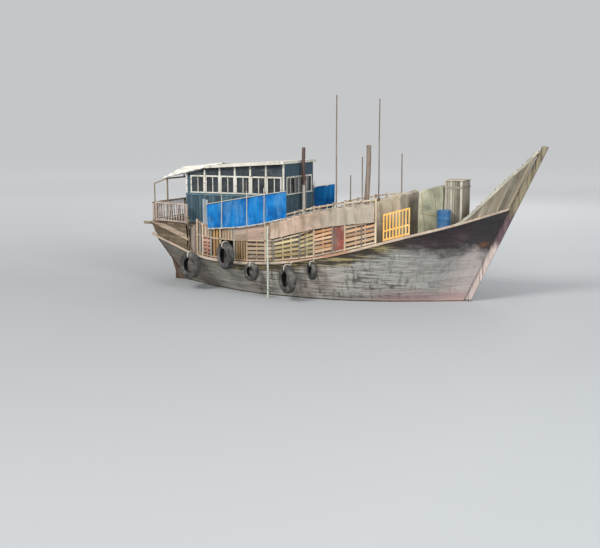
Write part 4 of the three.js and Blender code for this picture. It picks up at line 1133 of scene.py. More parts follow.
def bay_rows(side, dice):
    """All the boards of one side's screen."""
    rows = []
    for a, b, low_kind, low_tints, high_kind, high_tints in BAYS:
        rows += fill_rows(side, dice, low_kind, a, b, screen_foot, screen_mid, low_tints)
        rows += fill_rows(side, dice, high_kind, a, b, screen_mid, screen_top, high_tints)
        for height, width in ((screen_foot, 0.046), (screen_mid, 0.046), (screen_top, 0.056)):
            ups = [height(x) + dice.uniform(-0.004, 0.004) for x in (a, b)]
            rows.append((*along_screen(side, a, b, ups), 0.050, width, UP, dice.choice(TAN)))
    # dark boards behind the slats and balusters, as painted shade
    for a, b, kind, *_ in BAYS:
        if kind in ("slats", "balusters"):
            rows += shade_board_rows(side, dice, a, b, screen_foot, screen_mid)
    for x in BAY_EDGES:
        start, end = spot(side, x, 0.002), spot(side, x, screen_top(x) + 0.06)
        rows.append((start, end, 0.060, 0.058, lengthwise(side, x), dice.choice(TAN + GREY)))
    return rows


def side_screen(side_name, material, pole_material, rope_material):
    """The screen on one rail, bay by bay, with its poles, their lashings and its tall board."""
    side = SIDES[side_name]
    rows = bay_rows(side, random.Random(29 if side < 0 else 31))
    fit_out(boards(f"screen_{side_name}", rows, 0.004), material, "slat_wood", f"side_screen_{side_name}")
    head_y = spot(side, TALL_BOARD[1], TALL_BOARD_FOOT, -0.015).y
    tall = [(spot(side, x, TALL_BOARD_FOOT, -0.015), (x, head_y, TALL_BOARD_TOP - 0.012 * k),
             0.068, 0.028, AHEAD, "b9c3c6") for k, x in enumerate(TALL_BOARD)]
    fit_out(boards(f"tall_board_{side_name}", tall, 0.004), material, "slat_wood")
    feet = [spot(side, x, 0.03) for x, _ in POLES]
    sticks = [(foot, (foot.x, foot.y, top), 0.028, 0.018) for foot, (_, top) in zip(feet, POLES)]
    fit_out(round_poles(f"screen_poles_{side_name}", sticks), pole_material, "slat_wood")
    wraps = [coil(spot(side, x, height(x)), UP, 0.047, 0.060, 3) for x, _ in POLES
             for height in (screen_mid, screen_top)]
    fit_out(tube(f"pole_lashings_{side_name}", wraps, 0.008), rope_material, None)


QUARTER_ENDS = (-4.56, -4.22)   # between the quarter's panel and the screen
QUARTER_COUNT = 4
QUARTER_TOP = 2.31
QUARTER_TINTS = ("b9a796", "a3907f", "cdbba9", "8c7b6c")


def quarter_boards(side_name, material):
    """Upright boards from the rail to the poop deck's edge, where the screen starts."""
    side = SIDES[side_name]
    dice = random.Random(59)
    width = (QUARTER_ENDS[1] - QUARTER_ENDS[0]) / QUARTER_COUNT
    rows = []
    for k in range(QUARTER_COUNT):
        x = between(*QUARTER_ENDS, (k + 0.5) / QUARTER_COUNT)
        foot = spot(side, x, 0.004, -0.01)
        head = (x, foot.y - side * 0.03, QUARTER_TOP + dice.uniform(-0.05, 0.03))
        rows.append((foot, head, width - 0.010, 0.022, lengthwise(side, x), dice.choice(QUARTER_TINTS)))
    fit_out(boards(f"quarter_boards_{side_name}", rows, 0.004), material, "slat_wood")


# Cloths

SIMULATION_STEPS = 6            # for each frame


def cloth_grid(name, wide, tall, across, down, place):
    """A sheet of cloth as a grid. place(s, t) is its point, s along and t down, both from 0 to 1."""
    clear()
    bpy.ops.mesh.primitive_grid_add(x_subdivisions=across, y_subdivisions=down, size=1)
    piece = bpy.context.object
    piece.name = piece.data.name = name
    shares = [(v.co.x + 0.5, 0.5 - v.co.y) for v in piece.data.vertices]
    own = piece.data.uv_layers[0].data
    for loop in piece.data.loops:
        s, t = shares[loop.vertex_index]
        own[loop.index].uv = (s * wide, t * tall)
    for vertex, (s, t) in zip(piece.data.vertices, shares):
        vertex.co = place(s, t)
    return piece, shares


def settle(piece, held, frames, solids=(), mass=0.4, stiff=12, bend=0.6, shrink=0.0, close_to=0.008):
    """The cloth sags and folds where its held points let it, over the solids."""
    piece.vertex_groups.new(name="held").add(held, 1.0, "REPLACE")
    for solid in solids:
        solid.modifiers.new("solid", "COLLISION")
        solid.collision.thickness_outer = close_to
        solid.collision.cloth_friction = 12
    modifier = piece.modifiers.new("cloth", "CLOTH")
    settings = modifier.settings
    settings.quality = SIMULATION_STEPS
    settings.mass = mass
    settings.air_damping = 1.0
    settings.tension_stiffness = settings.compression_stiffness = settings.shear_stiffness = stiff
    settings.bending_stiffness = bend
    settings.shrink_min = shrink
    settings.vertex_group_mass = "held"
    modifier.collision_settings.use_collision = bool(solids)
    modifier.collision_settings.distance_min = close_to
    modifier.collision_settings.collision_quality = 3
    modifier.point_cache.frame_start = 1
    modifier.point_cache.frame_end = frames
    scene = bpy.context.scene
    scene.frame_start, scene.frame_end = 1, frames
    for number in range(1, frames + 1):
        scene.frame_set(number)
    pick(piece)
    bpy.ops.object.modifier_apply(modifier=modifier.name)
    piece.vertex_groups.clear()
    scene.frame_set(1)


def keep_within(piece, low, high):
    for vertex in piece.data.vertices:
        vertex.co = [min(max(c, a), b) for c, a, b in zip(vertex.co, low, high)]


def keep_by_line(piece, side, least, most):
    """Keeps the cloth between two distances outside the screens' line."""
    for vertex in piece.data.vertices:
        line = line_out(vertex.co.x)
        vertex.co.y = side * min(max(side * vertex.co.y, line + least), line + most)


def finish_cloth(piece, thick=0.005):
    """One more division for the folds, then the cloth's thickness."""
    subdivide(piece, 1)
    apply_modifier(piece, "SOLIDIFY", thickness=thick, offset=0)
    smooth(piece, 60)


def waves_of(dice, count, slow, fast, most):
    """Random waves for a cloth at rest: (rate, start, size) each."""
    return [(dice.uniform(slow, fast), dice.uniform(0, 6.28), dice.uniform(0.003, most))
            for _ in range(count)]


def at_tie(share, last, spacing):
    """Whether a share of a cloth's length falls on one of its ties, its two ends among them."""
    column = round(share * last)
    return column % spacing == 0 or column == last


def tied_points(shares, last, head_spacing, foot_spacing):
    """The points of a cloth's head and foot that its ties hold."""
    return [i for i, (s, t) in enumerate(shares)
            if t < 0.001 and at_tie(s, last, head_spacing) or t > 0.999 and at_tie(s, last, foot_spacing)]


CANVAS_ENDS = (-1.02, 2.74)
CANVAS_OUT = 0.052              # from the screens' line
CANVAS_UNDER = 0.110            # from the top rail down to its head
CANVAS_TALL = 0.590
CANVAS_COLUMNS, CANVAS_ROWS = 150, 22
CANVAS_TIE = 12                 # columns from one tie to the next


def weather_cloth(side_name, material, rope_material):
    """Cream canvas lashed over the screen's upper half, slack between its lashings."""
    side = SIDES[side_name]
    waves = waves_of(random.Random(41 if side < 0 else 43), 7, 2, 9, 0.010)
    length = CANVAS_ENDS[1] - CANVAS_ENDS[0]
    last = CANVAS_COLUMNS - 1

    def place(s, t):
        x = between(*CANVAS_ENDS, s)
        fold = sum(size * math.sin(rate * s * 9 + start + t * rate * 0.6) for rate, start, size in waves)
        head = screen_top(x) - CANVAS_UNDER
        up = between(head, head - CANVAS_TALL, t)
        return spot(side, x, up, CANVAS_OUT + 0.010 + fold * (0.3 + 0.7 * t))

    tall = CANVAS_TALL * 1.02
    piece, shares = cloth_grid(f"canvas_{side_name}", length * 1.03, tall, CANVAS_COLUMNS, CANVAS_ROWS, place)
    settle(piece, tied_points(shares, last, CANVAS_TIE, 30), 28, stiff=14, bend=1.2, shrink=-0.035)
    keep_by_line(piece, side, 0.030, 0.100)
    finish_cloth(piece)
    fit_out(piece, material, "cream_canvas", f"weather_cloth_{side_name}")
    ties = [[spot(side, x, screen_top(x) - CANVAS_UNDER + 0.004, CANVAS_OUT + 0.018)
             for x in np.linspace(*CANVAS_ENDS, 14)]]
    for k in range(0, CANVAS_COLUMNS, CANVAS_TIE):
        x = between(*CANVAS_ENDS, k / last)
        eye = spot(side, x, screen_top(x) - CANVAS_UNDER - 0.004, CANVAS_OUT + 0.012)
        head = spot(side, x + 0.02, screen_top(x) + 0.020, 0.034)
        ties.append([eye, eye.lerp(head, 0.5) + Vector((0, side * 0.012, 0)), head])
        ties.append(coil(spot(side, x + 0.02, screen_top(x)), lengthwise(side, x), 0.040, 0.03, 2))
    fit_out(tube(f"canvas_ties_{side_name}", ties, 0.008), rope_material, None)


CURTAIN_XS = (-3.63, -3.11, -2.60, -1.99, -1.24, -0.40)
CURTAIN_HEADS = (3.13, 3.23, 3.32, 3.43, 3.56, 3.70)
CURTAIN_OVER = -0.120           # from the screens' top rail to the curtain's foot
CURTAIN_OUT = 0.080             # from the screens' line
CURTAIN_FLAT = (3.28, 1.01)
CURTAIN_COLUMNS, CURTAIN_ROWS = 140, 42
CURTAIN_ROPES = ((-2.98, 0.02), (-1.93, 0.02), (-1.24, 0.06))   # x, how far the rope goes past the foot


def curtain_head(x):
    return float(np.interp(x, CURTAIN_XS, CURTAIN_HEADS))


def curtain_foot(x):
    return spot(PORT, x, screen_top(x) + CURTAIN_OVER).z


def curtain(side_name, material, rope_material):
    """Blue sheeting tied along its head and foot, with white ropes down over it and a white hem."""
    side = SIDES[side_name]
    waves = waves_of(random.Random(47 if side < 0 else 53), 8, 3, 14, 0.008)
    start, end = CURTAIN_XS[0], CURTAIN_XS[-1]

    def place(s, t):
        x = between(start, end, s)
        fold = sum(size * math.sin(rate * s * 8 + begin + t * 1.5) for rate, begin, size in waves)
        z = between(curtain_head(x), curtain_foot(x), t)
        return Vector((x, spot(side, x, 0, CURTAIN_OUT + fold).y, z))

    wide, tall = CURTAIN_FLAT
    name = f"blue_sheeting_{side_name}"
    piece, shares = cloth_grid(name, wide, tall, CURTAIN_COLUMNS, CURTAIN_ROWS, place)
    settle(piece, tied_points(shares, CURTAIN_COLUMNS - 1, 10, 18), 28, mass=0.3, bend=0.8, shrink=-0.03)
    keep_by_line(piece, side, 0.064, 0.104)
    finish_cloth(piece, 0.004)
    fit_out(piece, material, "blue_sheet", f"curtain_{side_name}")
    ropes = []
    for x, past in CURTAIN_ROPES:
        y = spot(side, x, 0, 0.118).y
        top, foot = curtain_head(x) + 0.22, curtain_foot(x) - past
        ropes.append([(x + 0.02 * k / 6 + 0.012 * math.sin(k), y, between(top, foot, k / 6))
                      for k in range(7)])
    for level in (curtain_head, curtain_foot):
        ropes.append([(x, spot(side, x, 0, 0.112).y, level(x)) for x in np.linspace(start, end, 12)])
    fit_out(tube(f"curtain_ropes_{side_name}", ropes, 0.013), rope_material, None)


COVER_CELL = 0.05
COVER_LASHINGS = (0.22, 0.74)   # shares of a cover's length where ropes go over it


def cut_up(piece, low, high):
    """Divides a box's faces into cells, and takes its bottom off."""
    open_faces(piece, lambda face: face.normal.z < -0.9)
    bpy.ops.mesh.delete(type="FACE")
    for axis in range(3):
        place = low[axis] + COVER_CELL
        while place < high[axis] - COVER_CELL / 2:
            bpy.ops.mesh.select_all(action="SELECT")
            bpy.ops.mesh.bisect(plane_co=on_axis(axis, place), plane_no=on_axis(axis, 1))
            place += COVER_CELL
    close()


def map_flat(piece):
    """Maps each face by the two axes that it faces least."""
    own = piece.data.uv_layers.new(name="map")
    for face in piece.data.polygons:
        side_on = max(range(3), key=lambda axis: abs(face.normal[axis]))
        for k in face.loop_indices:
            point = piece.data.vertices[piece.data.loops[k].vertex_index].co
            own.data[k].uv = [point[axis] for axis in range(3) if axis != side_on]


def loosen(piece, low, centre, seed):
    """Draws a cover a little in from its box, more here and less there."""
    dice = random.Random(seed)
    waves = []
    for _ in range(6):
        way = Vector([dice.uniform(-1, 1) for _ in range(3)]).normalized()
        waves.append((way * dice.uniform(3, 9), dice.uniform(0, 6.28)))
    for vertex in piece.data.vertices:
        wobble = sum(math.sin(way.dot(vertex.co) + start) for way, start in waves) / len(waves)
        inward = 0.975 + 0.012 * wobble
        vertex.co.x = centre.x + (vertex.co.x - centre.x) * inward
        vertex.co.y = centre.y + (vertex.co.y - centre.y) * inward
        vertex.co.z = low[2] + (vertex.co.z - low[2]) * (0.985 + 0.010 * wobble)


def core_of(piece, shrink):
    """A plain shape a little inside the piece, for cloth to lie on."""
    core = linked("core", piece.data.copy())
    middle = sum((v.co for v in core.data.vertices), Vector()) / len(core.data.vertices)
    for vertex in core.data.vertices:
        vertex.co -= (vertex.co - middle).normalized() * shrink
    return core


LASHING_POINTS = 44


def round_shape(tree, centre, axis, floor):
    """A loop of rope pulled round a shape, square to the axis, down to a floor."""
    points = []
    for k in range(LASHING_POINTS + 1):
        ray = ring_of(Vector(), axis.normalized(), 1, 2 * math.pi * k / LASHING_POINTS)
        hit = tree.ray_cast(centre + ray * 3.0, -ray)[0]
        if hit is not None and hit.z > floor + 0.01:
            points.append(hit + ray * 0.004)
    return points


def tied_cover(node, name, material, rope_material, seed):
    """A tarpaulin over a locker, slack between the ropes that tie it down."""
    low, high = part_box(node)
    centre = Vector([(a + b) / 2 for a, b in zip(low, high)])
    piece = flat_copy(node, name)
    cut_up(piece, low, high)
    loosen(piece, low, centre, seed)
    map_flat(piece)
    core = core_of(piece, 0.050)
    held = [v.index for v in piece.data.vertices if v.co.z < low[2] + 0.04 and v.index % 3 == 0]
    settle(piece, held, 30, solids=[core], mass=0.5, stiff=10, bend=1.5, shrink=-0.06, close_to=0.006)
    bpy.data.objects.remove(core)
    keep_within(piece, [c + 0.002 for c in low], [c - 0.002 for c in high])
    finish_cloth(piece)
    fit_out(piece, material, "grey_canvas", node)
    tree = tree_of(piece)
    ropes = []
    for share in COVER_LASHINGS:
        middle = Vector((between(low[0], high[0], share), centre.y, centre.z))
        ropes.append(round_shape(tree, middle, Vector((1, 0, 0.12)), low[2]))
    belt = Vector((centre.x, centre.y, between(low[2], high[2], 0.45)))
    ropes.append(round_shape(tree, belt, Vector((0.1, 0.05, 1)), low[2]))
    fit_out(tube(f"{name}_ropes", ropes, 0.008), rope_material, None)


# Balustrades at the stern

POOP_Z = 2.350
BALUSTRADE_TOP = 0.700
BALUSTER_SPACING = 0.150
BALUSTER_PROFILE = (            # radius, height
    (0.0, 0.0), (0.024, 0.0), (0.024, 0.07), (0.015, 0.085), (0.021, 0.11), (0.024, 0.22), (0.016, 0.33),
    (0.012, 0.36), (0.019, 0.39), (0.014, 0.43), (0.022, 0.52), (0.024, 0.60), (0.024, 0.655), (0.0, 0.655),
)
STERN_RAILS = (                 # part of the names, start and end on the poop deck
    ("starboard", (-6.30, -1.15), (-4.62, -1.66)),
    ("port", (-6.30, 1.15), (-4.62, 1.66)),
    ("aft", (-6.40, -1.17), (-6.40, 1.17)),
)


def baluster():
    """One turned baluster, standing at the origin, as a mesh to copy."""
    piece = spun("baluster", [(r, 0, z) for r, z in BALUSTER_PROFILE], UP, 10)
    smooth(piece, 40)
    return piece


def balustrade(name, start, end, turned, material):
    """Posts, two rails and turned balusters between two points on the poop deck."""
    start, end = Vector((*start, POOP_Z)), Vector((*end, POOP_Z))
    along, length = (end - start).normalized(), (end - start).length
    top, low = UP * BALUSTRADE_TOP, UP * 0.0605
    rows = [(start + top, end + top, 0.060, 0.080, UP, "efe9da"),
            (start + low, end + low, 0.050, 0.050, UP, "e4dccb")]
    for run in (0.0375, length - 0.0375):
        foot = start + along * run
        rows.append((foot + UP * 0.001, foot + top + UP * 0.02, 0.075, 0.075, along, "e9e2d2"))
    count = round(length / BALUSTER_SPACING)
    places = [start + along * (length * k / count) + UP * 0.035 for k in range(1, count)]
    copies = [placed_copy(turned, "baluster", Matrix.Translation(place)) for place in places]
    rails = boards(f"stern_rail_{name}_rails", rows, 0.006)
    fit_out(rails, material, "balustrade_wood", f"balustrade_{name}")
    fit_out(join(copies, f"stern_rail_{name}_balusters"), material, "balustrade_wood")


# Wheelhouse

HOUSE = {"aft": -4.90, "fore": -0.90, "half": 1.25, "foot": 2.3505}
ROOF = {"aft": -4.00, "fore": -0.84, "z": 4.43, "rise": 0.06, "half": 1.45}
AWNING = {"aft": -5.80, "fore": -4.01, "z_aft": 3.99, "z_fore": 4.40, "half": 1.45, "ridge_aft": 0.35,
          "ridge_fore": 0.12}
WINDOW_LOW, WINDOW_HIGH = 3.52, 4.06
BACK_WINDOW_HIGH, DOOR_WINDOW_HIGH = 3.98, 3.90
SIDE_WINDOWS = [(-4.64 + 0.62 * k, -4.16 + 0.62 * k) for k in range(6)]
FRONT_WINDOWS = [(y, y + 0.66) for y in (-1.05, -0.33, 0.39)]
BACK_WINDOWS = [(-1.05, -0.55), (0.55, 1.05)]
CASING, CASING_THICK = 0.055, 0.020     # the boards round a window
GLASS_THICK, GLASS_GAP = 0.006, 0.002   # and how much smaller a pane is than its opening
GLASS_IN = 0.030                # from the wall's face to the middle of the glass
BATTEN_FOOT, BATTEN_HEAD = 2.48, 3.38
BATTEN_TINT = "7f9db0"


def roof_z(x):
    return ROOF["z"] + (x - ROOF["aft"]) * ROOF["rise"]


def awning_share(x):
    return (x - AWNING["aft"]) / (AWNING["fore"] - AWNING["aft"])


def awning_z(x):
    return between(AWNING["z_aft"], AWNING["z_fore"], awning_share(x))


def ridge_rise(x):
    """How far the awning's ridge stands over its edges at x."""
    return between(AWNING["ridge_aft"], AWNING["ridge_fore"], awning_share(x))


def cover_z(x):
    """The roof's height over a wall at x, or the awning's where the roof doesn't reach."""
    return roof_z(x) if x > ROOF["aft"] else awning_z(x)


def wall_rows(rows, wall, way):
    """Boards on a wall's face. A row is (across, height) twice, how far out, width, thickness and tint."""
    at, out = wall
    return [(at(*start) + out * lift, at(*end) + out * lift, wide, thick, way, tint)
            for start, end, lift, wide, thick, tint in rows]


def window_frame(wall, a, b, low, high, mullions=1):
    """Boards round an opening, a sill under it, and its mullions."""
    half, lift = CASING / 2, CASING_THICK / 2 + 0.001
    level = wall_rows([
        ((a - CASING, high + half), (b + CASING, high + half), lift, CASING, CASING_THICK, "e8e6dc"),
        ((a - CASING - 0.02, low - half), (b + CASING + 0.02, low - half), lift * 1.6, CASING * 0.8,
         CASING_THICK * 1.6, "dcd9cc")], wall, UP)
    upright = [((x, low), (x, high), lift, CASING, CASING_THICK, "e8e6dc") for x in (a - half, b + half)]
    for k in range(1, mullions + 1):
        x = a + (b - a) * k / (mullions + 1)
        upright.append(((x, low), (x, high), -0.018, 0.030, 0.024, "e2dfd3"))
    at = wall[0]
    return level + wall_rows(upright, wall, (at(b, low) - at(a, low)).normalized())


def pane(name, wall, a, b, low, high):
    """A sheet of glass inside an opening, with worn edges."""
    at, out = wall
    across, tall = b - a - GLASS_GAP, high - low - GLASS_GAP
    size = [GLASS_THICK if abs(c) > 0.5 else across for c in out[:2]] + [tall]
    centre = (at(a, low) + at(b, high)) / 2 - out * GLASS_IN
    piece = empty_piece(name)
    bpy.ops.mesh.primitive_cube_add(size=1, location=centre, scale=size)
    bpy.ops.mesh.select_all(action="SELECT")
    bpy.ops.mesh.bevel(offset=0.0015, segments=2)
    close()
    return piece


def side_wall(side):
    """A wall is the function from (across, height) to a point on its face, and the way out of it."""
    return lambda x, z: Vector((x, side * HOUSE["half"], z)), TO_PORT * side


def end_wall(end, facing):
    return lambda y, z: Vector((HOUSE[end], y, z)), AHEAD * facing


def battens_on(wall, places, way):
    return wall_rows([((p, BATTEN_FOOT), (p, BATTEN_HEAD), 0.010, 0.045, 0.018, BATTEN_TINT) for p in places],
                     wall, way)


def house_walls(wall_paint, trim_paint, glass, battens_paint):
    """The windows' frames and panes, the battens and corner boards, and the paint on the walls themselves."""
    aft, fore = HOUSE["aft"], HOUSE["fore"]
    frames, panes, battens = [], [], []

    def windows(name, wall, openings, high, mullions=1):
        for k, (a, b) in enumerate(openings):
            frames.extend(window_frame(wall, a, b, WINDOW_LOW, high, mullions))
            panes.append(pane(f"pane_{name}_{k}", wall, a, b, WINDOW_LOW, high))

    for side in SIDES.values():
        wall = side_wall(side)
        windows(side, wall, SIDE_WINDOWS, WINDOW_HIGH)
        battens += wall_rows([((aft, z), (fore, z), 0.011, wide, 0.020, "d8d6ca")
                              for z, wide in ((3.42, 0.07), (2.42, 0.10))], wall, UP)
        battens += battens_on(wall, np.linspace(aft + 0.03, fore - 0.03, 8), AHEAD)
        frames += wall_rows([((x, 3.46), (x, cover_z(x) - 0.06), 0.011, 0.070, 0.020, "dedccf")
                             for x in (aft + 0.035, fore - 0.035)], wall, AHEAD)
    front = end_wall("fore", 1)
    windows("fore", front, FRONT_WINDOWS, WINDOW_HIGH)
    windows("back", end_wall("aft", -1), BACK_WINDOWS, BACK_WINDOW_HIGH, 0)
    battens += battens_on(front, np.linspace(-1.1, 1.1, 6), TO_PORT)
    fit_out(boards("window_frames", frames), trim_paint, "white_paint")
    fit_out(boards("wall_battens", battens), battens_paint, "teal_paint")
    fit_out(join(panes, "window_panes"), glass, None)
    for part in ("wall_port", "wall_starboard", "front", "back"):
        dress(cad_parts[f"wheelhouse_{part}"], wall_paint)


FRIEZE_FOOT, FRIEZE_UNDER = 4.125, 0.065        # from the window frames up to under the roof
FRIEZE_BOARDS = 4               # between two posts
BARE = "ffffff"                 # the tint of boards that show their paint alone


def frieze_head(x):
    return cover_z(x) - FRIEZE_UNDER


def house_frieze(panel_paint, trim_paint):
    """Dark panels over the side windows, between white posts that carry their frames up to the roof."""
    panels, posts = [], []
    middles = [(a[1] + b[0]) / 2 for a, b in zip(SIDE_WINDOWS, SIDE_WINDOWS[1:])]
    ends = [HOUSE["aft"] + 0.075, *middles, HOUSE["fore"] - 0.075]
    for side in SIDES.values():
        wall = side_wall(side)
        for a, b in zip(ends, ends[1:]):
            wide = (b - a) / FRIEZE_BOARDS
            xs = [a + wide * (k + 0.5) for k in range(FRIEZE_BOARDS)]
            panels += wall_rows([((x, FRIEZE_FOOT), (x, frieze_head(x)), 0.008, wide - 0.004, 0.014, BARE)
                                 for x in xs], wall, AHEAD)
        posts += wall_rows([((x, WINDOW_LOW), (x, frieze_head(x)), 0.021, 0.062, 0.040, BARE)
                            for x in middles], wall, AHEAD)
    fit_out(boards("frieze_panels", panels), panel_paint, "teal_paint")
    fit_out(boards("frieze_posts", posts), trim_paint, "white_paint")


DOOR_FOOT, DOOR_HEAD = HOUSE["foot"] + 0.012, HOUSE["foot"] + 1.644
STILE_Y, RAIL_HALF = 0.284, 0.234
DOOR_RAILS = ((DOOR_FOOT + 0.07, 0.14), (3.10, 0.09), (WINDOW_LOW - 0.05, 0.08), (DOOR_HEAD - 0.03, 0.06))
HANDLE_Y, HANDLE_LOW, HANDLE_HIGH = 0.27, 3.22, 3.36


def house_door(trim_paint, glass, brass):
    """Rails and stiles on the door's after face, its pane and its handle. They swing with it."""
    wall = end_wall("aft", -1)
    at, out = wall
    rows = wall_rows([((y, DOOR_FOOT), (y, DOOR_HEAD), 0.009, 0.10, 0.016, "e4e2d8")
                      for y in (-STILE_Y, STILE_Y)], wall, TO_PORT)
    rows += wall_rows([((-RAIL_HALF, z), (RAIL_HALF, z), 0.009, wide, 0.015, "e4e2d8")
                       for z, wide in DOOR_RAILS], wall, UP)
    fit_out(boards("door_frame", rows), trim_paint, "white_paint", body="wheelhouse_door")
    inner = pane("door_pane", wall, -0.2, 0.2, WINDOW_LOW, DOOR_WINDOW_HIGH)
    fit_out(inner, glass, None, body="wheelhouse_door")
    grip = [at(HANDLE_Y, z) + out * lift for z, lift in (
        (HANDLE_LOW, 0.016), (HANDLE_LOW, 0.05), (HANDLE_HIGH, 0.05), (HANDLE_HIGH, 0.016))]
    fit_out(tube("door_handle", [grip], 0.008), brass, "bronze", body="wheelhouse_door")


ROOF_BOARDS = 20


def house_roof(paint):
    """Painted boards over the roof's slab, with fascias round its edges."""
    aft, fore, half = ROOF["aft"], ROOF["fore"], ROOF["half"]
    wide = 2 * half / ROOF_BOARDS
    rows = []
    for k in range(ROOF_BOARDS):
        y = -half + wide * (k + 0.5)
        rows.append(((aft, y, roof_z(aft) + 0.025), (fore, y, roof_z(fore) + 0.025), wide - 0.004, 0.046,
                     TO_PORT, "e9e6da"))
    fit_out(boards("roof_boards", rows), paint, "white_paint", "wheelhouse_roof")
    lines = [((aft, y), (fore, y)) for y in (-half + 0.011, half - 0.011)]
    lines += [((x, -half + 0.02), (x, half - 0.02)) for x in (aft + 0.011, fore - 0.011)]
    edges = [((*a, roof_z(a[0]) - 0.01), (*b, roof_z(b[0]) - 0.01), 0.085, 0.022, UP, "f0ede2")
             for a, b in lines]
    fit_out(boards("roof_fascias", edges, 0.004), paint, "white_paint")


AWNING_COLUMNS, AWNING_ROWS = 44, 71
AWNING_TIE = 7                  # columns from one tie to the next
AWNING_POST_X = -5.74


def aft_awning(canvas, pole_material, rope_material):
    """One sheet of canvas over a ridge pole, laced down along the after frame's edges and slack between."""
    aft, fore, half = AWNING["aft"], AWNING["fore"], AWNING["half"]

    def place(s, t):
        x, y = between(aft, fore, s), between(-half, half, t)
        return Vector((x, y, awning_z(x) + 0.016 + ridge_rise(x) * (1 - abs(y) / half)))

    wide = math.hypot(fore - aft, AWNING["z_fore"] - AWNING["z_aft"]) * 1.02
    across = 2 * math.hypot(half, AWNING["ridge_aft"])
    piece, shares = cloth_grid("awning_canvas", wide, across, AWNING_COLUMNS, AWNING_ROWS, place)
    held = []
    for i, (s, t) in enumerate(shares):
        column, row = round(s * (AWNING_COLUMNS - 1)), round(t * (AWNING_ROWS - 1))
        laced = row in (0, AWNING_ROWS - 1) and column % AWNING_TIE == 0
        tied = column in (0, AWNING_COLUMNS - 1) and row % 10 == 5
        if laced or tied or row == AWNING_ROWS // 2 and column % 3 == 0:
            held.append(i)
    settle(piece, held, 24, stiff=20, bend=1.0, shrink=-0.015)
    low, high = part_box("aft_awning")
    low = (low[0] - 0.01, low[1] - 0.01, low[2] - 0.12)
    keep_within(piece, low, (high[0], high[1] + 0.01, high[2] + 0.4))
    finish_cloth(piece)
    fit_out(piece, canvas, "white_canvas", "aft_awning")
    ridge = [(x, 0, awning_z(x) + ridge_rise(x) - 0.012) for x in (aft + 0.02, fore - 0.06)]
    king = Vector((AWNING_POST_X, 0, awning_z(AWNING_POST_X)))
    poles = [(*ridge, 0.022, 0.020),
             (king - UP * 0.045, king + UP * (ridge_rise(AWNING_POST_X) - 0.02), 0.026, 0.024)]
    fit_out(round_poles("awning_ridge", poles), pole_material, None)
    ties = []
    for side in SIDES.values():
        for k in range(0, AWNING_COLUMNS, AWNING_TIE):
            x = between(aft, fore, k / (AWNING_COLUMNS - 1))
            edge = Vector((x, side * (half - 0.02), awning_z(x) + 0.01))
            ties.append([edge, edge - Vector((0, side * 0.05, 0.05)), edge - Vector((0, side * 0.12, 0.055))])
    fit_out(tube("awning_ties", ties, 0.006), rope_material, None)


# Posts and gear

TYRE_PROFILE = (                # radius, place along the axle, for a tyre of outer radius 1
    (0.530, -0.205), (0.600, -0.250), (0.760, -0.262), (0.890, -0.250), (0.955, -0.205), (0.985, -0.150),
    (0.968, -0.140), (0.968, -0.110), (0.998, -0.100), (1.000, -0.030), (0.972, -0.020),
)
TREAD_BLOCKS = 48
FENDERS = (                     # x, z, radius, turn
    (-4.250, 0.920, 0.490, 0.30), (-2.640, 1.400, 0.490, 0.60), (-1.680, 0.880, 0.330, 0.35),
    (-0.170, 0.760, 0.490, 0.70), (0.670, 1.080, 0.310, 0.70),
)
LINE_ENDS = (-4.70, 1.00)
LINE_OUT = 0.123                # from the screens' line to the middle of the fenders' line


def tyre_shape():
    """A tyre of outer radius 1, its axis along y: sidewalls, tread blocks and the hollow inside."""
    half = [(r, h, 0) for r, h in TYRE_PROFILE]
    piece = spun("tyre", half + [(r, -h, 0) for r, h, _ in reversed(half)], TO_PORT, TREAD_BLOCKS)
    close()

    def block(face):
        turn = math.atan2(face.center.z, face.center.x) / (2 * math.pi) * TREAD_BLOCKS
        shoulder = 0.11 < abs(face.center.y) < 0.24 and 0.93 < math.hypot(face.center.x, face.center.z)
        return shoulder and int(turn) % 2 == 0

    inset_faces(piece, block, thickness=0.006, depth=-0.022)
    inset_faces(piece, lambda face: 0.62 < math.hypot(face.center.x, face.center.z) < 0.80,
                thickness=0.03, depth=0.008)
    apply_modifier(piece, "SOLIDIFY", thickness=0.035, offset=-1)
    return piece


def fender_line(side, x):
    return spot(side, x, -0.045 - SCREEN_CLEAR, LINE_OUT)


def fenders(side_name, shape, material, rope_material):
    """Truck tyres on the boat's side: each hangs by its own rope from the line along the rail."""
    side = SIDES[side_name]
    node = f"fenders_{side_name}"
    solid = [v.co.copy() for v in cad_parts[node].data.vertices]
    tyres = []
    ropes = [[fender_line(side, x) + UP * 0.012 * math.sin(x * 4.0) for x in np.linspace(*LINE_ENDS, 40)]]
    for k, (x, z, size, turn) in enumerate(FENDERS):
        near = [p.y for p in solid if abs(p.x - x) < size and z - size * 1.02 < p.z < z - size * 0.3]
        y = (min(near) + max(near)) / 2
        tyres.append(placed_copy(shape, f"tyre_{k}", Matrix.Translation((x, y, z))
                                 @ Matrix.Rotation(side * turn, 4, "Z")
                                 @ Matrix.Rotation(0.7 * k, 4, "Y") @ Matrix.Scale(size, 4)))
        hang, head = fender_line(side, x), Vector((x, y, z + size * 0.80))
        ropes.append(coil(hang, lengthwise(side, x), 0.024, 0.05, 2))
        ropes.append([hang, hang.lerp(head, 0.5) + AHEAD * 0.01, head])
        axle = Vector((math.cos(side * turn), math.sin(side * turn), 0))
        ropes.append(coil(Vector((x, y, z + size * 0.76)), axle, size * 0.29, 0.06, 2, 10))
    whole = join(tyres, f"tyres_{side_name}")
    smooth(whole)
    fit_out(whole, material, "tyre_rubber", node)
    fit_out(tube(f"fender_ropes_{side_name}", ropes, 0.013), rope_material, None)


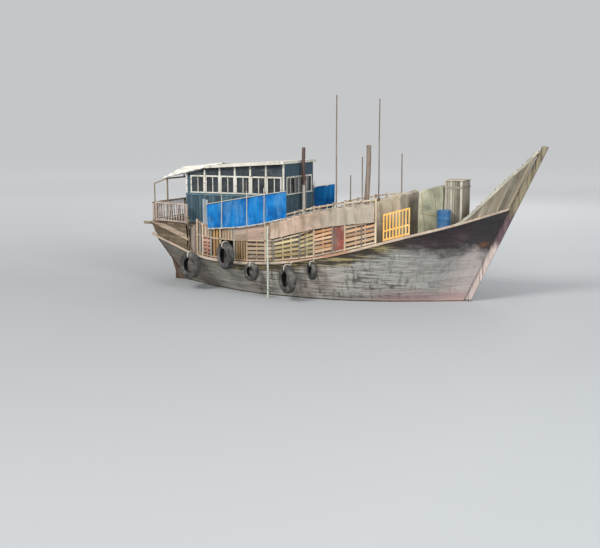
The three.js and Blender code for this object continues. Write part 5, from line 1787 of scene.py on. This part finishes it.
DRUM_PROFILE = (                # shares of its radius and height
    (0.0, 0.012), (0.90, 0.012), (0.93, 0.0), (0.985, 0.0), (1.0, 0.02), (0.972, 0.06), (0.972, 0.30),
    (0.998, 0.32), (0.998, 0.345), (0.972, 0.365), (0.972, 0.64), (0.998, 0.66), (0.998, 0.685),
    (0.972, 0.705), (0.972, 0.93), (0.99, 0.965), (0.99, 1.0), (0.94, 1.0), (0.93, 0.975), (0.0, 0.975),
)


def drum(material):
    """A plastic drum: hoops rolled into its side, a chime, and a lid with two bungs."""
    low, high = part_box("blue_drum")
    tall, radius = high[2] - low[2], (high[0] - low[0]) / 2
    piece = spun("drum", [(r * radius, 0, h * tall) for r, h in DRUM_PROFILE], UP, 40)
    for x in (-0.55, 0.6):
        bpy.ops.mesh.primitive_cylinder_add(vertices=16, radius=0.035, depth=0.02,
                                            location=(x * radius, 0.1 * radius, tall * 0.985))
    close()
    piece.data.transform(Matrix.Translation(((low[0] + high[0]) / 2, (low[1] + high[1]) / 2, low[2])))
    bevel(piece, 0.004, 2, 40)
    smooth(piece, 40)
    fit_out(piece, material, "blue_plastic", "blue_drum")


GRATING_ENDS = (3.04, 3.86)
GRATING_BARS = 8                # spaces between them


def grating(material):
    """The yellow grating on the starboard rail: three rails with bars halved over them."""
    rows = [(*along_screen(STARBOARD, *GRATING_ENDS, (height, height)), 0.060, 0.030, UP, "eaa83a")
            for height in (0.04, 0.33, 0.86)]
    for k in range(GRATING_BARS + 1):
        x = between(*GRATING_ENDS, k / GRATING_BARS)
        start, end = spot(STARBOARD, x, 0.005, 0.006), spot(STARBOARD, x, 0.88, 0.006)
        rows.append((start, end, 0.045, 0.024, lengthwise(STARBOARD, x), "f0b042"))
    fit_out(boards("grating", rows), material, "yellow_paint", "yellow_grating")


CUPBOARD_AFT, CUPBOARD_FORE, CUPBOARD_HALF, CUPBOARD_TOP = 4.64, 5.24, 0.54, 4.08
CUPBOARD_PLANK = 0.085
DECK_RISE = 0.19                # of the foredeck under it, for each metre forward
LID_OVER, LID_BOARDS = 0.03, 6
CUPBOARD_TINTS = ("c9bea6", "a79c88", "ddd3bb", "8f8674", "e6dcc6")


def cupboard(material):
    """A tall cupboard of upright boards on the foredeck, under a flat lid."""
    aft, fore, half, top = CUPBOARD_AFT, CUPBOARD_FORE, CUPBOARD_HALF, CUPBOARD_TOP
    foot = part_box("boarded_cupboard")[0][2] + 0.002
    dice = random.Random(17)
    rows = []
    corners = [Vector((x, y, 0)) for x, y in ((aft, -half), (fore, -half), (fore, half), (aft, half))]
    for a, b in zip(corners, corners[1:] + corners[:1]):
        along, length = (b - a).normalized(), (b - a).length
        inward = UP.cross(along)
        count = round(length / CUPBOARD_PLANK)
        for k in range(count):
            centre = a + along * (length * (k + 0.5) / count) + inward * (0.012 + 0.006 * (k % 2))
            low = foot + DECK_RISE * (centre.x - aft) + dice.uniform(0, 0.01)
            rows.append((centre + UP * low, centre + UP * (top - 0.002), length / count - 0.008, 0.018, along,
                         dice.choice(CUPBOARD_TINTS)))
        for z in (foot + 0.35, top - 0.22):
            shift = inward * 0.002 + UP * z
            rows.append((a + shift, b + shift, 0.07, 0.016, UP, "a2988a"))
    wide = 2 * (half + LID_OVER) / LID_BOARDS
    for k in range(LID_BOARDS):
        y = -half - LID_OVER + wide * (k + 0.5)
        rows.append(((aft - LID_OVER, y, top + 0.014), (fore + LID_OVER, y, top + 0.014), wide - 0.005, 0.026,
                     TO_PORT, dice.choice(CUPBOARD_TINTS)))
    fit_out(boards("cupboard", rows), material, "washboard_wood", "boarded_cupboard")


LADDER_FOOT, LADDER_HEAD = Vector((-0.08, 1.15, 0.91)), Vector((-0.57, 1.15, 2.41))
LADDER_RUNGS = 6


def ladder(material):
    rows = []
    for shift in (TO_PORT * -0.23, TO_PORT * 0.23):
        rows.append((LADDER_FOOT + shift, LADDER_HEAD + shift, 0.110, 0.038, AHEAD, "a58f70"))
    half = TO_PORT * 0.205
    for k in range(1, LADDER_RUNGS + 1):
        middle = LADDER_FOOT.lerp(LADDER_HEAD, k / (LADDER_RUNGS + 1))
        rows.append((middle - half, middle + half, 0.118, 0.028, AHEAD, "b39b78"))
    fit_out(boards("ladder", rows, 0.004), material, "timber", "poop_ladder")


HELM_CENTRE = Vector((-1.65, 0, 3.32))
HELM_SPOKES = 6


def helm(material):
    """The helm's rim, its turned spokes and its hub."""
    clear()
    bpy.ops.mesh.primitive_torus_add(location=HELM_CENTRE, rotation=(0, math.pi / 2, 0), major_radius=0.270,
                                     minor_radius=0.021, major_segments=48, minor_segments=12)
    rim = bpy.context.object
    rim.data.transform(rim.matrix_basis)
    rim.matrix_basis = Matrix.Identity(4)
    spokes = []
    for k in range(HELM_SPOKES):
        angle = 2 * math.pi * k / HELM_SPOKES
        ray = Vector((0, math.cos(angle), math.sin(angle)))
        spokes.append((HELM_CENTRE + ray * 0.04, HELM_CENTRE + ray * 0.335, 0.015, 0.011))
    spokes.append((HELM_CENTRE - AHEAD * 0.044, HELM_CENTRE + AHEAD * 0.044, 0.054, 0.050))
    wheel = join([rim, round_poles("spokes", spokes)], "helm")
    smooth(wheel, 40)
    fit_out(wheel, material, "timber", "helm_wheel", body="helm_wheel")


HATCH_BOARDS = 9


def hatch_boards(material):
    """Boards over the hatch, with battens across under them."""
    low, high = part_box("hatch_cover")
    wide = (high[1] - low[1]) / HATCH_BOARDS
    rows = []
    for k in range(HATCH_BOARDS):
        y, z = low[1] + wide * (k + 0.5), high[2] - 0.018
        rows.append(((low[0], y, z), (high[0], y, z), wide - 0.005, 0.034, TO_PORT, "a8977c"))
    for x in (low[0] + 0.05, (low[0] + high[0]) / 2, high[0] - 0.05):
        z = low[2] + 0.013
        rows.append(((x, low[1] + 0.002, z), (x, high[1] - 0.002, z), 0.090, 0.024, AHEAD, "98876c"))
    fit_out(boards("hatch_boards", rows, 0.004), material, "deck_planks", "hatch_cover", body="hatch_cover")


def post(name, node, foot, head, material, slot="timber"):
    """A post between two ends, (point, radius) each."""
    fit_out(round_poles(name, [(foot[0], head[0], foot[1], head[1])], 20), material, slot, node)


def posts(mast_wood, post_wood, spar_paint):
    """The mast, the post before the wheelhouse, and the spar that stands outside the starboard rail."""
    post("mast_pole", "mast", ((1.70, 0, 0.853), 0.100), ((1.76, 0, 5.22), 0.080), mast_wood)
    post("house_post_pole", "house_post", ((-0.72, 0, HOUSE["foot"]), 0.075), ((-0.72, 0, 5.12), 0.062),
         post_wood)
    low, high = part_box("outer_spar")
    y = (low[1] + high[1]) / 2
    post("spar_pole", "outer_spar", ((-1.06, y, -0.26), 0.034), ((-1.06, y, 2.48), 0.028), spar_paint,
         "white_paint")


# Studio floor

WATERLINE_ENDS = (-5.45, 5.20)  # the planking's first and last stations at the water
WATERLINE_TIPS = (-5.515, 5.36) # inside the transom and the stem
WATERLINE_STATIONS = 28
WATER_Z = 0.0005
FLOOR_SPREAD = (40, 110, 1)     # from the waterline to the floor's edge


def waterline():
    """The hull's outline at the water, in the middle of the planking's thickness."""
    tree = tree_of(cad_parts["hull_planking_starboard"])
    side = []
    for k in range(WATERLINE_STATIONS):
        x = between(*WATERLINE_ENDS, k / (WATERLINE_STATIONS - 1))
        outer = tree.ray_cast(Vector((x, -4, WATER_Z)), TO_PORT)[0].y
        inner = tree.ray_cast(Vector((x, 0, WATER_Z)), -TO_PORT)[0].y
        side.append((x, (outer + inner) / 2))
    port = [(x, -y) for x, y in reversed(side)]
    return [(WATERLINE_TIPS[0], 0)] + side + [(WATERLINE_TIPS[1], 0)] + port


def studio_floor():
    """A level floor at the waterline, open inside the hull so that its hold is dry."""
    outline = waterline()
    clear()
    bpy.ops.mesh.primitive_circle_add(vertices=len(outline), radius=1, location=(0, 0, 0))
    floor = bpy.context.object
    floor.name = "studio_floor"
    for vertex, (x, y) in zip(floor.data.vertices, outline):
        vertex.co = (x, y, 0)
    open_all(floor)
    bpy.ops.mesh.extrude_edges_move()
    bpy.ops.transform.resize(value=FLOOR_SPREAD, center_override=(0, 0, 0))
    bpy.ops.mesh.select_all(action="SELECT")
    bpy.ops.mesh.normals_make_consistent(inside=False)
    close()
    dress(floor, floor_finish())


# The whole boat

def finishes():
    """Every material, by what it is for."""
    return SimpleNamespace(
        hull=hull_finish(),
        stem=stem_finish(),
        house_post=post_finish(),
        timber=wood("timber", "5a4a3a", "877358", "ab9878"),
        dark_timber=wood("dark_timber", "3a2c25", "5a463a", "7d6654", along=2, grey_share=0.2),
        stern=planked("stern_wood", "4f443b", "7f705c", "a5967b", 0.16, 2.2, across=2,
                      wale=(-5.0, 1.99, 0.30, 0.085, "b7a592")),
        # the decks' dark browns are old planks made darker still, as painted shade for the deck seen through
        # the screens
        deck=planked("deck_planks", "4c4134", "665847", "84745e", 0.13, 2.6),
        rail=wood("rail_wood", "9c8a78", "c6b29e", "dfd0bd", grey="a8948a", grey_share=0.5,
                  paint=(-0.4, 1.9, "a96e50")),
        boards=wood("slat_wood", "a2a2a2", "dcdcdc", "ffffff", True, grey="b0a692", grey_share=0.28,
                    tinted=True),
        washboard=wood("washboard_wood", "8c8c8c", "d0d0d0", "ffffff", True, grey="9d9a88", tinted=True),
        baluster=wood("balustrade_wood", "8e8077", "b5a69b", "d6cbbf", along=2, grey="8d827b",
                      grey_share=0.45),
        pole=wood("pole_wood", "4a413a", "6f6358", "8f8374", True, grey_share=0.3),
        mast=wood("mast_wood", "5c4f47", "857567", "a99988", True, grey_share=0.45),
        white=painted("white_paint", "dedbd0", "c4c0b2", "8c7f6c"),
        teal=painted("teal_paint", "4a6874", "637f88", "8f9a90", amount=0.55),
        slate=painted("slate_paint", "2c353c", "434d54", "6b6f6c", amount=0.4),
        yellow=painted("yellow_paint", "f2b650", "ecc98a", "b89a6c", amount=0.45, grained=True),
        spar=painted("spar_paint", "cfd6cb", "b7bfae", "7d7c68"),
        wall=planked("teal_boards", "32454f", "475d69", "647a86", 0.11, 4.0, across=0, along=2,
                     stain="3d474d"),
        blue_plastic=painted("blue_plastic", "2b6392", "54799a", "2a4e70", 0.4, 0.4),
        canvas=cloth("cream_canvas", "ceb8a7", "bba391", "998573", fore=(0.9, 1.2, "aea494")),
        grey_tarp=cloth("grey_canvas", "bbae99", "a79b86", "82786a", stains=0.35),
        green_tarp=cloth("green_canvas", "b9b89f", "a1a189", "7d7f6d"),
        blue_sheeting=cloth("blue_sheet", "2483c6", "1167ac", "0b4a84", stain="639bc6", stains=0.45,
                            sheen=0.0, hem=(0.965, "dfe3e2")),
        awning=cloth("white_canvas", "f4f2ea", "e8e5da", "cdc9ba", stains=0.2),
        rubber=rubber(),
        white_rope=rope_finish("white_rope", "e8e4d6", "a39b88"),
        brown_rope=rope_finish("brown_rope", "b8a684", "6d5d46"),
        glass=dark_glass(),
        iron=metal("engine_iron", "4b4a48", "6a655e", "6d4630", 0.6),
        bronze=metal("bronze", "a77c3b", "6f7f5c", "5d5c40", 0.4),
    )


def build_sides(looks):
    """What both sides of the hull have, and the railing round the stern."""
    turned, tyre = baluster(), tyre_shape()
    for side_name in SIDES:
        planking(side_name, looks.hull)
        cap_rail(side_name, looks.rail)
        worn(f"quarter_panel_{side_name}", 0.010, looks.stern, f"quarter_{side_name}")
        washboard(side_name, looks.washboard)
        side_screen(side_name, looks.boards, looks.pole, looks.brown_rope)
        quarter_boards(side_name, looks.boards)
        weather_cloth(side_name, looks.canvas, looks.white_rope)
        curtain(side_name, looks.blue_sheeting, looks.white_rope)
        fenders(side_name, tyre, looks.rubber, looks.white_rope)
    for name, start, end in STERN_RAILS:
        balustrade(name, start, end, turned, looks.baluster)
    for spare in (turned, tyre):
        bpy.data.objects.remove(spare)


def build_backbone(looks):
    worn("stem_post", 0.018, looks.stem)
    worn("keel", 0.015, looks.timber)
    worn("sternpost", 0.012, looks.dark_timber)
    worn("transom", 0.008, looks.dark_timber)
    worn("stern_panel", 0.006, looks.timber)


def build_house(looks):
    """The wheelhouse and the awning aft of its roof."""
    house_walls(looks.wall, looks.white, looks.glass, looks.teal)
    house_frieze(looks.slate, looks.white)
    house_door(looks.white, looks.glass, looks.bronze)
    house_roof(looks.white)
    worn("awning_frame", 0.004, looks.timber, "awning_frame_worn")
    aft_awning(looks.awning, looks.pole, looks.white_rope)


def build_gear(looks):
    """What stands on the decks, and the timbers under and round them."""
    posts(looks.mast, looks.house_post, looks.spar)
    drum(looks.blue_plastic)
    grating(looks.yellow)
    cupboard(looks.washboard)
    ladder(looks.boards)
    helm(looks.timber)
    hatch_boards(looks.boards)
    for node in ("fore_bitts", "hatch_coaming", "helm_pedestal", "poop_frame_fore", "poop_frame_mid",
                 "forepeak_bulkhead"):
        worn(node, 0.008, looks.timber)


def dress_solids(looks):
    """The CAD's own pieces that are seen as they are."""
    for node, material in (("main_deck", looks.deck), ("poop_deck", looks.deck), ("foredeck", looks.deck),
                           ("rudder", looks.dark_timber), ("wheelhouse_door", looks.white),
                           ("engine_block", looks.iron), ("propeller", looks.bronze)):
        dress(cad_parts[node], material)


def main():
    set_camera()
    set_lights()
    looks = finishes()
    build_sides(looks)
    build_backbone(looks)
    tied_cover("covered_locker_fore", "fore_cover", looks.green_tarp, looks.brown_rope, 3)
    tied_cover("covered_locker_aft", "aft_cover", looks.grey_tarp, looks.brown_rope, 5)
    build_house(looks)
    build_gear(looks)
    dress_solids(looks)
    studio_floor()


main()
